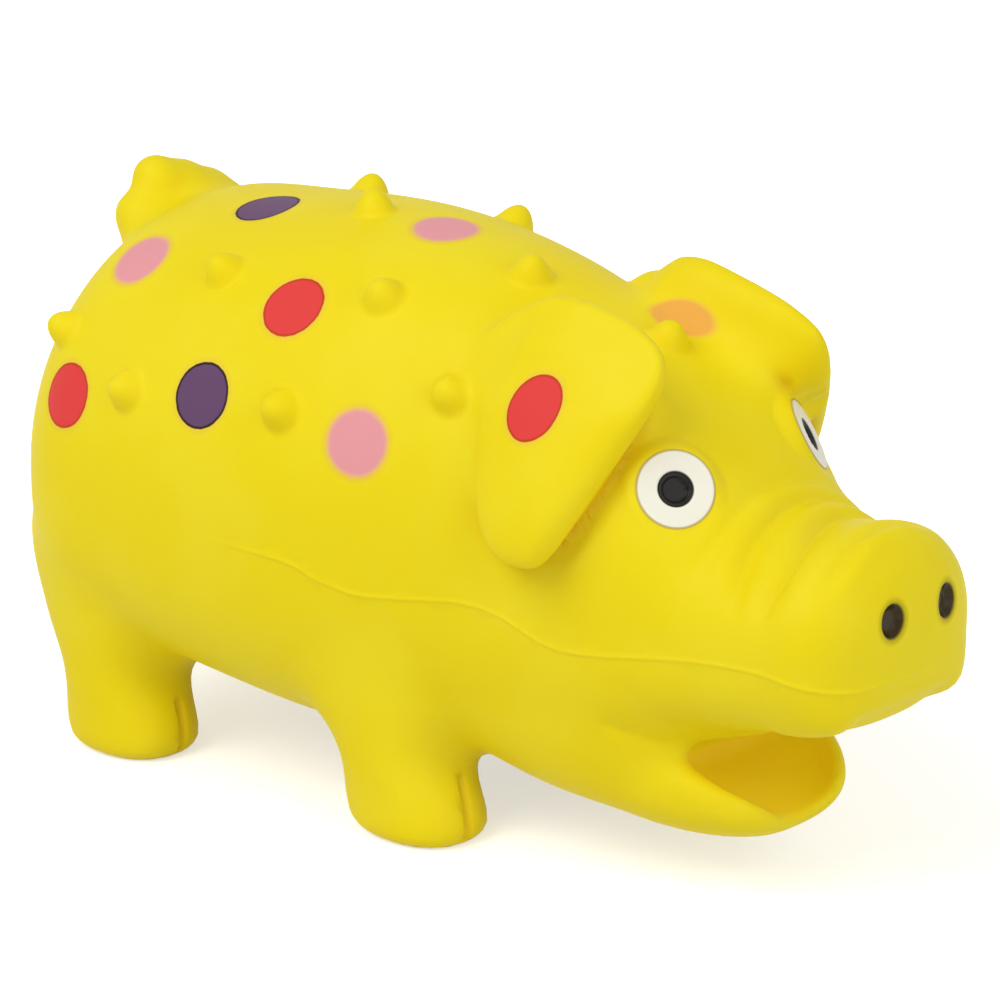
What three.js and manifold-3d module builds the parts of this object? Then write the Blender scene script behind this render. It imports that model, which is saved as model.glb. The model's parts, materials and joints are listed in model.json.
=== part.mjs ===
import * as THREE from 'three';
import { mergeVertices } from 'three/addons/utils/BufferGeometryUtils.js';
import Module from 'manifold-3d';

// A dog toy: a standing pig moulded in one piece of latex, stuffed with fibre, with a squeeze grunter
// plugged into a port in its belly. Millimetres, +Z up, +X towards the snout, +Y the pig's left side.
// The origin is on the ground under the middle of the body.

// Trunk, head and snout. Each line gives [share of the body's length from the rump, millimetres].
const bodyLength = 227;
const backLine = [[0, 107], [0.105, 119.8], [0.235, 123.7], [0.39, 125.3], [0.545, 121], [0.675, 110.2],
  [0.765, 99.3], [0.835, 85], [0.895, 79], [0.955, 81.2], [1, 79]];
const bellyLine = [[0, 26], [0.105, 22], [0.235, 19], [0.41, 14.5], [0.545, 18.5], [0.675, 18.5],
  [0.755, 24.5], [0.815, 34], [0.895, 38], [0.955, 41], [1, 43]];
const widestLevel = [[0, 61], [0.235, 63.5], [0.41, 66], [0.585, 63], [0.72, 59], [0.83, 55], [1, 60]];
const halfBreadth = [[0, 51.5], [0.105, 55], [0.235, 56], [0.41, 52], [0.545, 44.5], [0.675, 38],
  [0.765, 34.5], [0.83, 31.5], [0.905, 28.5], [0.955, 27], [1, 24]];
const rumpRounding = 36;
const snoutRounding = 14;

// How square the trunk's sections are, above their widest level and below it, and its two ends are; the
// snout's end turns squarer underneath, from so far under the widest level and over such a height. The
// last is the half size up to which the trunk's form is scaled in millimetres
const powerAbove = [[0, 2.1], [0.56, 2.1], [0.66, 2.7], [0.73, 3], [0.795, 2.8], [0.84, 2.3], [1, 2.1]];
const powerBelow = 2.75;
const rumpPower = 2.33;
const snoutPower = 2.8;
const snoutPowerUnder = 3.8;
const snoutUnderFrom = 2;
const snoutUnderOver = 14;
const steepest = 25;

// Legs: where each pair stands, how it leans back and draws in as it rises, and its thickness at each
// height
const rearLegFromRump = 37;
const frontLegFromSnout = 106.5;
const rearLegTrack = 74.5;
const frontLegTrack = 61;
const rearLegLean = 0.16;
const frontLegLean = 0.28;
const legHalfLength = [[-8, 14], [6, 15.5], [18, 13], [32, 17], [50, 20], [62, 8]];
const legHalfBreadth = [[-8, 13.5], [6, 12.5], [18, 13.4], [32, 14.8], [50, 13.6], [62, 6]];
const legTop = 62;
const legPower = 2.3;
const legFlare = 0.028;
const legFlareFrom = 15;
const soleRounding = 4.6;
const legBlend = 7;

// Chin, and the mouth above it: a hollow that slopes down and opens between chin and snout
const chinFromSnout = 64.1;
const chinZ = 25.2;
const chinLength = 84;
const chinBreadth = 54;
const chinDepth = 28.4;
const chinPitch = 6.6;
const chinPower = 2.3;
const chinBlend = 8.7;
const mouthFromSnout = 77.5;
const mouthZ = 75.5;
const mouthLength = 155;
const mouthBreadth = 77;
const mouthDepth = 31;
const mouthPitch = 48.5;
const mouthBlend = 2.6;

// Ears: soft slabs that hang outwards, wide at the root and narrow at the tip, and melt into the head at
// the top. Their three ways are given in the directions of the axes.
const earFromSnout = 67.5;
const earY = 32.5;
const earZ = 93.2;
const earLength = 54.5;
const earBreadth = 37;
const earThickness = 14;
const earTaperAhead = 0.29;
const earTaperBehind = 0.4;
const earBend = 0.0012;
const earDownWay = [-0.12, 0.47, -0.86];
const earOutWay = [0.035, 0.95, 0.357];
const earPower = 2.2;
const earFacePower = 3;
const earSharpBlend = 2.4;
const earSoftBlend = 13;
const earSoftBack = 0.25;
const earSoftFromSnout = 101.5;
const earSoftOver = 32;

// Tail: a coil of balls on top of the rump, each [from the rump's end, across, height, radius]
const tailBalls = [[14.5, 12.5, 112, 5.2], [14.5, 7.6, 116.8, 5.4], [14.5, 0.5, 119.8, 5.4],
  [14, -6.5, 121.8, 5.3], [13.5, -11.6, 114.6, 5], [14.5, -7, 110.6, 6], [14.5, 1, 113, 7]];
const tailInnerBlend = 4;
const tailBlend = 8;

// Nubs: [share of the length, degrees down from the top towards +Y]. They differ from side to side.
const nubHeight = 5.6;
const nubBase = 9.6;
const nubTip = 5;
const nubSink = 1.5;
const nubs = [[0.37, -6.3], [0.574, -7.6], [0.7, 3.2], [0.289, -34.3], [0.476, -30], [0.236, -64.1],
  [0.423, -61.5], [0.584, -43.1], [0.119, -53], [0.241, 20.8], [0.424, 24.6], [0.341, 46], [0.535, 44],
  [0.236, 64.1], [0.423, 61.5], [0.119, 53], [0.613, 21.7]];

// Face
const eyeFromSnout = 44.5;
const eyeAngle = 34.8;
const pupilDiameter = 7.5;
const pupilDepth = 1;
const nostrilSpacing = 17.6;
const nostrilShift = 1.3;
const nostrilHeight = 65.5;
const nostrilBreadth = 5.5;
const nostrilTall = 8.5;
const nostrilDepth = 2.2;

// Cleft down the front of each foot
const cleftHeight = 15;
const cleftWidth = 1.8;
const cleftInset = 0.2;
const cleftBelow = 4;

// Latex wall, port and fibre filling
const wall = 2.6;
const portAhead = 6.75;
const portDiameter = 24;
const portCollar = 5;
const collarWall = 2;
const seatRim = 1.5;
const seatThickness = 3.4;
const seatStep = 0.2;
const seatChamfer = 1;
const hollowRounding = 9;
const fillingGap = 0.8;
const headFillingFromSnout = 63.5;
const legFillingTop = 20;

// Grunter: a moulded barrel, a free reed clamped over a window, a filter and a perforated cap
const fit = 0.3;
const flangeDiameter = 31;
const flangeThickness = 1.6;
const barrelWall = 1.5;
const barrelHeight = 26;
const beadHeight = 1.2;
const beadLead = 0.3;
const beadCrest = 0.5;
const beadSlope = 2.2;
const rimChamfer = 0.5;
const flangeChamfer = 0.6;
const floorThickness = 1.5;
const ledgeHeight = 7;
const ledgeWidth = 1.6;
const ledgeThickness = 1.5;
const outletCount = 6;
const outletDiameter = 2.6;
const outletShare = 0.6;
const blockHeight = 4;
const windowLength = 11;
const windowBreadth = 5.8;
const windowAhead = 1.2;
const reedBreadth = 5;
const reedThickness = 0.4;
const reedRoot = 3.4;
const reedShort = 0.6;
const clampThickness = 1.4;
const clampLength = 3.2;
const clampBreadth = 9;
const pegDiameter = 1.2;
const pegDepth = 2.5;
const capThickness = 1.4;
const capSkirt = 4;
const capChamfer = 0.4;
const capSkirtWall = 1.2;
const capHole = 2.2;
const capHoleCount = 6;
const capHoleShare = 0.5;
const filterThickness = 1.5;

// Size of the faces on the outside and on the inside of the skin, and how far the outside's may be off
const outerFace = 5.9;
const innerFace = 10.4;
const tolerance = 0.6;
const roundSides = 32;

const wasm = await Module();
wasm.setup();

function solid(geometry) {
  const bare = geometry.clone();
  bare.deleteAttribute('normal');
  bare.deleteAttribute('uv');
  const merged = mergeVertices(bare, 1e-4);
  const vertProperties = new Float32Array(merged.attributes.position.array);
  const triVerts = new Uint32Array(merged.index.array);
  return new wasm.Manifold(new wasm.Mesh({ numProp: 3, vertProperties, triVerts }));
}

function geometryOf(manifold) {
  const mesh = manifold.getMesh();
  const geometry = new THREE.BufferGeometry();
  geometry.setAttribute('position', new THREE.BufferAttribute(new Float32Array(mesh.vertProperties), 3));
  geometry.setIndex(new THREE.BufferAttribute(new Uint32Array(mesh.triVerts), 1));
  geometry.computeVertexNormals();
  return geometry;
}

function box(low, high) {
  const size = high.map((value, i) => value - low[i]);
  const geometry = new THREE.BoxGeometry(...size);
  geometry.translate(...low.map((value, i) => value + size[i] / 2));
  return solid(geometry);
}

function turned(profile, segments) {
  const points = profile.map(([radius, height]) => new THREE.Vector2(radius, height));
  const geometry = new THREE.LatheGeometry(points, segments);
  geometry.rotateX(Math.PI / 2);
  return geometry;
}

function rod(radius, low, high, x, y, segments = 16) {
  const geometry = new THREE.CylinderGeometry(radius, radius, high - low, segments);
  geometry.rotateX(Math.PI / 2);
  geometry.translate(x, y, (low + high) / 2);
  return solid(geometry);
}

// A smooth curve through the given points, read as value against station
function line(points, station) {
  const curve = new THREE.SplineCurve(points.map(([s, value]) => new THREE.Vector2(station(s), value)));
  const table = curve.getPoints(300);
  return (at) => {
    if (at <= table[0].x) return table[0].y;
    let low = 0;
    let high = table.length - 1;
    if (at >= table[high].x) return table[high].y;
    while (high - low > 1) {
      const middle = (low + high) >> 1;
      if (table[middle].x <= at) low = middle;
      else high = middle;
    }
    const share = (at - table[low].x) / (table[high].x - table[low].x);
    return table[low].y + (table[high].y - table[low].y) * share;
  };
}

const alongBody = (share) => (share - 0.5) * bodyLength;
const rumpX = alongBody(0);
const snoutX = alongBody(1);
const rearLegX = rumpX + rearLegFromRump;
const frontLegX = snoutX - frontLegFromSnout;
const portX = (rearLegX + frontLegX) / 2 + portAhead;
const far = 2 * bodyLength;
const upLeg = (height) => height;
const backAt = line(backLine, alongBody);
const bellyAt = line(bellyLine, alongBody);
const levelAt = line(widestLevel, alongBody);
const breadthAt = line(halfBreadth, alongBody);
const powerAt = line(powerAbove, alongBody);
const legLengthAt = line(legHalfLength, upLeg);
const legBreadthAt = line(legHalfBreadth, upLeg);

// Two surfaces joined, or one cut by another, with a rounded crease of about the blend's size
function joined(a, b, blend) {
  const share = THREE.MathUtils.clamp(0.5 + 0.5 * (b - a) / blend, 0, 1);
  return b + (a - b) * share - blend * share * (1 - share);
}

function cutBy(a, b, blend) {
  return -joined(-a, b, blend);
}

// Each form is a function that is negative inside it and grows outwards by about a millimetre for each
// millimetre
function trunk(x, y, z) {
  const up = z - levelAt(x);
  const half = breadthAt(x);
  const tall = up > 0 ? backAt(x) - levelAt(x) : levelAt(x) - bellyAt(x);
  const power = up > 0 ? powerAt(x) : powerBelow;
  const sum = Math.pow(Math.abs(y) / half, power) + Math.pow(Math.abs(up) / tall, power);
  const across = Math.pow(sum, 1 / power);
  const behind = Math.max(rumpX + rumpRounding - x, 0) / rumpRounding;
  const ahead = Math.max(x - snoutX + snoutRounding, 0) / snoutRounding;
  const under = THREE.MathUtils.smoothstep((-up - snoutUnderFrom) / snoutUnderOver, 0, 1);
  const front = snoutPower + (snoutPowerUnder - snoutPower) * under;
  const end = behind > 0 ? rumpPower : front;
  const size = Math.pow(Math.pow(across, end) + Math.pow(Math.max(behind, ahead), end), 1 / end);
  return (size - 1) * Math.min(half, tall, steepest);
}

function leg(x, y, z, legX, track, lean) {
  const under = THREE.MathUtils.clamp(soleRounding - z, 0, soleRounding);
  const sole = soleRounding - Math.sqrt(soleRounding ** 2 - under ** 2);
  const half = legLengthAt(z) - sole;
  const side = legBreadthAt(z) - sole;
  const drawnIn = legFlare * Math.pow(THREE.MathUtils.clamp(z - legFlareFrom, 0, legTop), 1.5);
  const across = Math.abs(y) - track / 2 + drawnIn;
  const ahead = x - legX + lean * z;
  const sum = Math.pow(Math.abs(ahead) / half, legPower) + Math.pow(Math.abs(across) / side, legPower);
  return Math.max((Math.pow(sum, 1 / legPower) - 1) * Math.min(half, side), z - legTop);
}

function pitched(x, y, z, centre, halves, degrees, power) {
  const angle = THREE.MathUtils.degToRad(degrees);
  const u = Math.cos(angle) * (x - centre[0]) - Math.sin(angle) * (z - centre[1]);
  const v = Math.sin(angle) * (x - centre[0]) + Math.cos(angle) * (z - centre[1]);
  const sum = Math.pow(Math.abs(u) / halves[0], power) + Math.pow(Math.abs(y) / halves[1], power)
    + Math.pow(Math.abs(v) / halves[2], power);
  return (Math.pow(sum, 1 / power) - 1) * Math.min(...halves);
}

function chin(x, y, z) {
  const halves = [chinLength / 2, chinBreadth / 2, chinDepth / 2];
  return pitched(x, y, z, [snoutX - chinFromSnout, chinZ], halves, chinPitch, chinPower);
}

function mouth(x, y, z) {
  const halves = [mouthLength / 2, mouthBreadth / 2, mouthDepth / 2];
  return pitched(x, y, z, [snoutX - mouthFromSnout, mouthZ], halves, mouthPitch, 2);
}

const earX = snoutX - earFromSnout;
const earDown = new THREE.Vector3(...earDownWay).normalize();
const earOut = new THREE.Vector3(...earOutWay);
earOut.addScaledVector(earDown, -earOut.dot(earDown)).normalize();
const earAhead = new THREE.Vector3().crossVectors(earOut, earDown);

// Distances down, ahead and out from the middle of the ear
function earPlace(x, y, z) {
  const from = new THREE.Vector3(x - earX, Math.abs(y) - earY, z - earZ);
  const down = from.dot(earDown);
  return [down, from.dot(earAhead), from.dot(earOut) + earBend * down * Math.abs(down)];
}

function ear(x, y, z) {
  const [down, ahead, out] = earPlace(x, y, z);
  const taper = ahead > 0 ? earTaperAhead : earTaperBehind;
  const half = earBreadth / 2 * (1 - taper * THREE.MathUtils.clamp(down / (earLength / 2), -1, 1.2));
  const face = Math.pow(Math.abs(down) / (earLength / 2), earFacePower)
    + Math.pow(Math.abs(ahead) / half, earFacePower);
  const through = Math.pow(Math.abs(out) / (earThickness / 2), earPower);
  const size = Math.pow(Math.pow(face, earPower / earFacePower) + through, 1 / earPower);
  return (size - 1) * earThickness / 2;
}

// The ear meets the head in a sharp crease at its front edge and tip, and melts into it at its top
function earBlendAt(x, y, z) {
  const [down, ahead] = earPlace(x, y, z);
  const rise = (low, high, value) => THREE.MathUtils.smoothstep((value - low) / (high - low), 0, 1);
  const softFrom = snoutX - earSoftFromSnout;
  const top = rise(0.1, -0.75, down / (earLength / 2)) * rise(softFrom, softFrom + earSoftOver, x);
  const back = rise(0.2, -0.9, ahead / (earBreadth / 2));
  return earSharpBlend + (earSoftBlend - earSharpBlend) * Math.max(top, earSoftBack * back);
}

function bodyAndLegs(x, y, z) {
  const legs = Math.min(leg(x, y, z, rearLegX, rearLegTrack, rearLegLean),
    leg(x, y, z, frontLegX, frontLegTrack, frontLegLean));
  return joined(trunk(x, y, z), legs, legBlend);
}

function ball(x, y, z, [along, across, height, radius]) {
  return Math.hypot(x - rumpX - along, y - across, z - height) - radius;
}

function outside(x, y, z) {
  const jaw = cutBy(chin(x, y, z), mouth(x, y, z), mouthBlend);
  let value = joined(bodyAndLegs(x, y, z), jaw, chinBlend);
  value = joined(value, ear(x, y, z), earBlendAt(x, y, z));
  const joinBall = (sum, each) => joined(sum, ball(x, y, z, each), tailInnerBlend);
  const tail = tailBalls.reduce(joinBall, tailBlend);
  value = joined(value, tail, tailBlend);
  return Math.max(value, -soleRounding - z);
}

function slope(form, x, y, z) {
  const e = 0.1;
  return new THREE.Vector3(form(x + e, y, z) - form(x - e, y, z), form(x, y + e, z) - form(x, y - e, z),
    form(x, y, z + e) - form(x, y, z - e)).divideScalar(2 * e);
}

// The cavity keeps a wall's thickness inside the trunk and legs
function inset(depth) {
  return (x, y, z) => {
    const away = bodyAndLegs(x, y, z) / Math.max(slope(bodyAndLegs, x, y, z).length(), 0.3);
    return cutBy(away + depth, z - depth, hollowRounding);
  };
}

const cubeCorners = [0, 1, 2, 3, 4, 5, 6, 7].map((c) => [c & 1, (c >> 1) & 1, c >> 2]);

// Fills the places where cells inside the form touch only at an edge or a corner, so that its skin is
// simple; a cell is filled by a value just inside the form
const justInside = -0.02;

function filled(values, count) {
  const at = (i, j, k) => (i * count[1] + j) * count[2] + k;
  const steps = [[1, 0, 0], [0, 1, 0], [0, 0, 1]];
  for (let pass = 0, changed = true; pass < 30 && changed; pass += 1) {
    changed = false;
    for (let i = 0; i < count[0] - 1; i += 1) {
      for (let j = 0; j < count[1] - 1; j += 1) {
        for (let k = 0; k < count[2] - 1; k += 1) {
          for (const [a, b] of [[0, 1], [0, 2], [1, 2]]) {
            const p = at(i, j, k);
            const r = p + at(...steps[a]);
            const s = p + at(...steps[b]);
            const q = r + at(...steps[b]);
            const inP = values[p] < 0;
            const inR = values[r] < 0;
            if (inP === values[q] < 0 && inR === values[s] < 0 && inP !== inR) {
              const open = inP ? [r, s] : [p, q];
              values[values[open[0]] <= values[open[1]] ? open[0] : open[1]] = justInside;
              changed = true;
            }
          }
          const corners = cubeCorners.map(([x, y, z]) => at(i + x, j + y, k + z));
          const inner = corners.filter((c) => values[c] < 0);
          for (let c = 0; c < 4; c += 1) {
            const bothIn = values[corners[c]] < 0 && values[corners[7 - c]] < 0;
            const bothOut = values[corners[c]] >= 0 && values[corners[7 - c]] >= 0;
            if (bothIn && inner.length === 2) {
              values[corners[c ^ 1]] = justInside;
              changed = true;
            } else if (bothOut && inner.length === 6) {
              values[corners[c]] = justInside;
              changed = true;
            }
          }
        }
      }
    }
  }
  return values;
}

// Moves a point along the slope onto a form's surface
function settle(form, point, farthest) {
  for (let pass = 0; pass < 3; pass += 1) {
    const rise = slope(form, point.x, point.y, point.z);
    const step = rise.multiplyScalar(form(point.x, point.y, point.z) / Math.max(rise.lengthSq(), 0.05));
    point.sub(step.clampLength(0, farthest));
  }
}

// A closed skin over a form: one point in each cell that the form's surface crosses, four-sided faces
// between neighbouring cells, and each point then moved along the slope onto the surface
function skinOf(form, low, high, face) {
  const start = low.map((value) => value - face);
  const count = start.map((value, i) => Math.ceil((high[i] - value) / face) + 2);
  const at = (i, j, k) => (i * count[1] + j) * count[2] + k;
  let values = new Float64Array(count[0] * count[1] * count[2]);
  for (let i = 0; i < count[0]; i += 1) {
    for (let j = 0; j < count[1]; j += 1) {
      for (let k = 0; k < count[2]; k += 1) {
        values[at(i, j, k)] = form(start[0] + i * face, start[1] + j * face, start[2] + k * face);
      }
    }
  }
  values = filled(values, count);
  const points = [];
  const cell = new Map();
  for (let i = 0; i < count[0] - 1; i += 1) {
    for (let j = 0; j < count[1] - 1; j += 1) {
      for (let k = 0; k < count[2] - 1; k += 1) {
        const sum = new THREE.Vector3();
        let hits = 0;
        for (let c = 0; c < 8; c += 1) {
          for (const bit of [1, 2, 4]) {
            if (c & bit) continue;
            const d = c | bit;
            const from = new THREE.Vector3(i + (c & 1), j + ((c >> 1) & 1), k + (c >> 2));
            const to = new THREE.Vector3(i + (d & 1), j + ((d >> 1) & 1), k + (d >> 2));
            const a = values[at(from.x, from.y, from.z)];
            const b = values[at(to.x, to.y, to.z)];
            if (a < 0 === b < 0) continue;
            sum.add(from.lerp(to, a / (a - b)));
            hits += 1;
          }
        }
        if (hits === 0) continue;
        cell.set(at(i, j, k), points.length);
        points.push(sum.divideScalar(hits).multiplyScalar(face).add(new THREE.Vector3(...start)));
      }
    }
  }
  points.forEach((point) => settle(form, point, face / 2));
  const index = [];
  const quad = (a, b, c, d) => {
    if (points[a].distanceTo(points[c]) <= points[b].distanceTo(points[d])) index.push(a, b, c, a, c, d);
    else index.push(a, b, d, b, c, d);
  };
  for (let i = 1; i < count[0] - 1; i += 1) {
    for (let j = 1; j < count[1] - 1; j += 1) {
      for (let k = 1; k < count[2] - 1; k += 1) {
        const here = values[at(i, j, k)] < 0;
        const around = [
          [at(i + 1, j, k), [at(i, j, k), at(i, j - 1, k), at(i, j - 1, k - 1), at(i, j, k - 1)]],
          [at(i, j + 1, k), [at(i, j, k), at(i, j, k - 1), at(i - 1, j, k - 1), at(i - 1, j, k)]],
          [at(i, j, k + 1), [at(i, j, k), at(i - 1, j, k), at(i - 1, j - 1, k), at(i, j - 1, k)]],
        ];
        for (const [next, ring] of around) {
          if (here === values[next] < 0) continue;
          const corners = ring.map((key) => cell.get(key));
          if (here) quad(...corners);
          else quad(...corners.reverse());
        }
      }
    }
  }
  return { points, index };
}

// Halves the edges whose middles lie off the surface, so that each face there becomes two to four
function refined(form, { points, index }, tolerance, shortest) {
  const middles = new Map();
  const middleOf = (a, b) => {
    const key = Math.min(a, b) * points.length + Math.max(a, b);
    if (!middles.has(key)) {
      const middle = points[a].clone().add(points[b]).multiplyScalar(0.5);
      const steep = Math.max(slope(form, middle.x, middle.y, middle.z).length(), 0.3);
      const off = Math.abs(form(middle.x, middle.y, middle.z)) / steep;
      middles.set(key, off > tolerance && points[a].distanceTo(points[b]) > shortest ? middle : null);
    }
    return key;
  };
  const keys = index.map((a, n) => middleOf(a, n % 3 === 2 ? index[n - 2] : index[n + 1]));
  const all = [...points];
  const number = new Map();
  for (const [key, middle] of middles) {
    if (middle === null) continue;
    settle(form, middle, shortest / 2);
    number.set(key, all.length);
    all.push(middle);
  }
  const made = [];
  for (let t = 0; t < index.length; t += 3) {
    const marks = keys.slice(t, t + 3).map((key) => number.has(key));
    const count = marks.filter(Boolean).length;
    const turn = count === 1 ? marks.indexOf(true) : (marks.indexOf(false) + 1) % 3;
    const [a, b, c] = [0, 1, 2].map((n) => index[t + (turn + n) % 3]);
    const [ab, bc, ca] = [0, 1, 2].map((n) => number.get(keys[t + (turn + n) % 3]));
    if (count === 0) made.push(a, b, c);
    else if (count === 1) made.push(a, ab, c, ab, b, c);
    else if (count === 2) made.push(ab, b, bc, a, ab, bc, a, bc, c);
    else made.push(a, ab, ca, ab, b, bc, ca, bc, c, ab, bc, ca);
  }
  return { points: all, index: made };
}

function solidOf({ points, index }) {
  const geometry = new THREE.BufferGeometry();
  const places = points.flatMap((point) => point.toArray());
  geometry.setAttribute('position', new THREE.Float32BufferAttribute(places, 3));
  geometry.setIndex(index);
  return solid(geometry);
}

// The point of a form's surface that is met first on the way in along a line
function surfacePoint(form, start, towards) {
  const way = towards.clone().sub(start);
  const length = way.length();
  way.normalize();
  let near = 0;
  while (near < length && form(...start.clone().addScaledVector(way, near).toArray()) > 0) near += 0.5;
  let low = near - 0.5;
  let high = near;
  for (let pass = 0; pass < 20; pass += 1) {
    const middle = (low + high) / 2;
    if (form(...start.clone().addScaledVector(way, middle).toArray()) > 0) low = middle;
    else high = middle;
  }
  return start.clone().addScaledVector(way, high);
}

// A station on the trunk, so many degrees down from the top towards +Y
function onTrunk(x, degrees) {
  const angle = THREE.MathUtils.degToRad(degrees);
  const centre = new THREE.Vector3(x, 0, levelAt(x));
  const start = centre.clone().add(new THREE.Vector3(0, far * Math.sin(angle), far * Math.cos(angle)));
  const point = surfacePoint(trunk, start, centre);
  return { point, normal: slope(trunk, point.x, point.y, point.z).normalize() };
}

function standing(geometry, { point, normal }) {
  const turn = new THREE.Quaternion().setFromUnitVectors(new THREE.Vector3(0, 0, 1), normal);
  geometry.applyQuaternion(turn);
  geometry.translate(point.x, point.y, point.z);
  return solid(geometry);
}

// Latex skin: the whole pig in one, then the nubs and the face
const largest = (points) => Math.max(...points.map(([, value]) => value));
const reach = Math.max(largest(halfBreadth), rearLegTrack / 2 + largest(legHalfBreadth),
  frontLegTrack / 2 + largest(legHalfBreadth), earY + earLength / 2) + outerFace;
const tailPeak = Math.max(...tailBalls.map(([, , height, radius]) => height + radius));
const peak = Math.max(largest(backLine), tailPeak, earZ + earLength / 2) + outerFace;
const outerLow = [rumpX - outerFace, -reach, -2 * soleRounding];
const outerHigh = [snoutX + outerFace, reach, peak];

let outer = skinOf(outside, outerLow, outerHigh, outerFace);
outer = refined(outside, outer, tolerance, outerFace / 2);
outer = refined(outside, outer, tolerance, outerFace / 4);
let skin = solidOf(outer);

function nub() {
  const base = nubBase / 2;
  const tip = nubTip / 2;
  const profile = [[0, -nubSink], [base, -nubSink], [tip + (base - tip) * 0.35, nubHeight * 0.16],
    [tip, nubHeight - tip * 0.95], [tip * 0.72, nubHeight - tip * 0.3], [0, nubHeight]];
  return turned(profile, 8);
}

for (const [share, degrees] of nubs) {
  skin = skin.add(standing(nub(), onTrunk(alongBody(share), degrees)));
}

// Pupils and nostrils are sunk a little into the face
for (const side of [1, -1]) {
  const pupil = new THREE.SphereGeometry(pupilDiameter / 2, 14, 6);
  pupil.rotateX(Math.PI / 2);
  pupil.scale(1, 1, 2 * pupilDepth / pupilDiameter);
  skin = skin.subtract(standing(pupil, onTrunk(snoutX - eyeFromSnout, side * eyeAngle)));
  const nostril = new THREE.SphereGeometry(0.5, 12, 6);
  nostril.scale(2 * nostrilDepth, nostrilBreadth, nostrilTall);
  const start = new THREE.Vector3(far, side * nostrilSpacing / 2 + nostrilShift, nostrilHeight);
  const place = surfacePoint(trunk, start, new THREE.Vector3(0, start.y, start.z));
  nostril.translate(place.x, place.y, place.z);
  skin = skin.subtract(solid(nostril));
}

// A cleft down the front of each foot
const rearLeg = ['rear', rearLegX, rearLegTrack, rearLegLean];
const frontLeg = ['front', frontLegX, frontLegTrack, frontLegLean];
for (const [, legX, track, lean] of [rearLeg, frontLeg]) {
  for (const side of [1, -1]) {
    const topX = legX - lean * cleftHeight + legLengthAt(cleftHeight);
    const footX = legX + legLengthAt(soleRounding) - cleftInset;
    const top = new THREE.Vector3(topX, side * track / 2, cleftHeight);
    const foot = new THREE.Vector3(footX, side * track / 2, -cleftBelow);
    const cleft = new THREE.CylinderGeometry(cleftWidth / 2, cleftWidth / 2, top.distanceTo(foot), 6);
    cleft.rotateX(Math.PI / 2);
    const middle = top.clone().add(foot).multiplyScalar(0.5);
    const normal = top.clone().sub(foot).normalize();
    skin = skin.subtract(standing(cleft, { point: middle, normal }));
  }
}

// Port: a bore through a flat seat in the belly, with a collar that stands up inside
const bellySeat = bellyAt(portX) - seatStep;
const portRadius = portDiameter / 2;
const seatRadius = flangeDiameter / 2 + seatRim;
const seatTop = bellySeat + seatThickness;
const collarTop = seatTop + portCollar;
const cavityForm = inset(wall);
const cavity = skinOf(cavityForm, outerLow, outerHigh, innerFace);

function collar(grow, inner) {
  const foot = bellySeat - (grow > 0 ? bellySeat : 0);
  const rim = seatRadius + grow;
  const neck = portRadius + collarWall + grow;
  const profile = [[inner, foot], [rim, foot], [rim, seatTop - seatChamfer + grow],
    [rim - seatChamfer, seatTop + grow], [neck, seatTop + grow], [neck, collarTop + grow],
    [inner, collarTop + grow], [inner, foot]];
  const geometry = turned(profile, roundSides);
  geometry.translate(portX, 0, 0);
  return solid(geometry);
}

skin = skin.subtract(solidOf(cavity));
skin = skin.add(collar(0, portRadius - 1));
skin = skin.subtract(rod(portRadius, 0, collarTop + portCollar, portX, 0, roundSides));
skin = skin.subtract(rod(flangeDiameter / 2 + fit, 0, bellySeat, portX, 0, roundSides));
skin = skin.subtract(box([-far, -far, -far], [far, far, 0]));

// Fibre filling: the cavity less a small gap, parted into the wads that it is stuffed with
const shrunk = cavity.points.map((point) => point.clone());
shrunk.forEach((point) => settle(inset(wall + fillingGap), point, innerFace / 2));
const filling = solidOf({ points: shrunk, index: cavity.index });
const half = fit / 2;
const barrelRadius = portRadius - fit;
const flangeTop = bellySeat - fit;
const barrelTop = flangeTop + barrelHeight;
const beadRadius = barrelRadius + beadHeight;
const collarHole = collar(fit, portRadius - 1);
const capTop = barrelTop + fit + capThickness;
const barrelHole = rod(Math.max(beadRadius, portRadius) + fit, -far, capTop + fit, portX, 0, roundSides);

const headFillingX = snoutX - headFillingFromSnout;
const behindHead = box([-far, -far, -far], [headFillingX - half, far, far]);
const beforeBody = box([headFillingX + half, -far, -far], [far, far, far]);

function largestPiece(manifold) {
  return manifold.decompose().reduce((most, piece) => (piece.volume() > most.volume() ? piece : most));
}

// A leg's wad fills its own box, and the body's wad is cut to leave it
function legBox(legX, track, side, grow) {
  const halfX = largest(legHalfLength) + grow;
  const inner = track / 2 - largest(legHalfBreadth) - grow;
  const across = [side * inner, side * far].sort((a, b) => a - b);
  return box([legX - halfX, across[0], -far], [legX + halfX, across[1], legFillingTop + grow]);
}

let bodyFilling = filling.intersect(behindHead);
const legFillings = [];
for (const [name, legX, track] of [rearLeg, frontLeg]) {
  for (const [sideName, side] of [['left', 1], ['right', -1]]) {
    const wad = filling.intersect(legBox(legX, track, side, 0));
    const clear = largestPiece(wad.subtract(collarHole).subtract(barrelHole));
    legFillings.push([`${name}_${sideName}_leg_filling`, clear]);
    bodyFilling = bodyFilling.subtract(legBox(legX, track, side, fit));
  }
}
bodyFilling = largestPiece(bodyFilling.subtract(collarHole).subtract(barrelHole));
const headFilling = largestPiece(filling.intersect(beforeBody));

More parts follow.
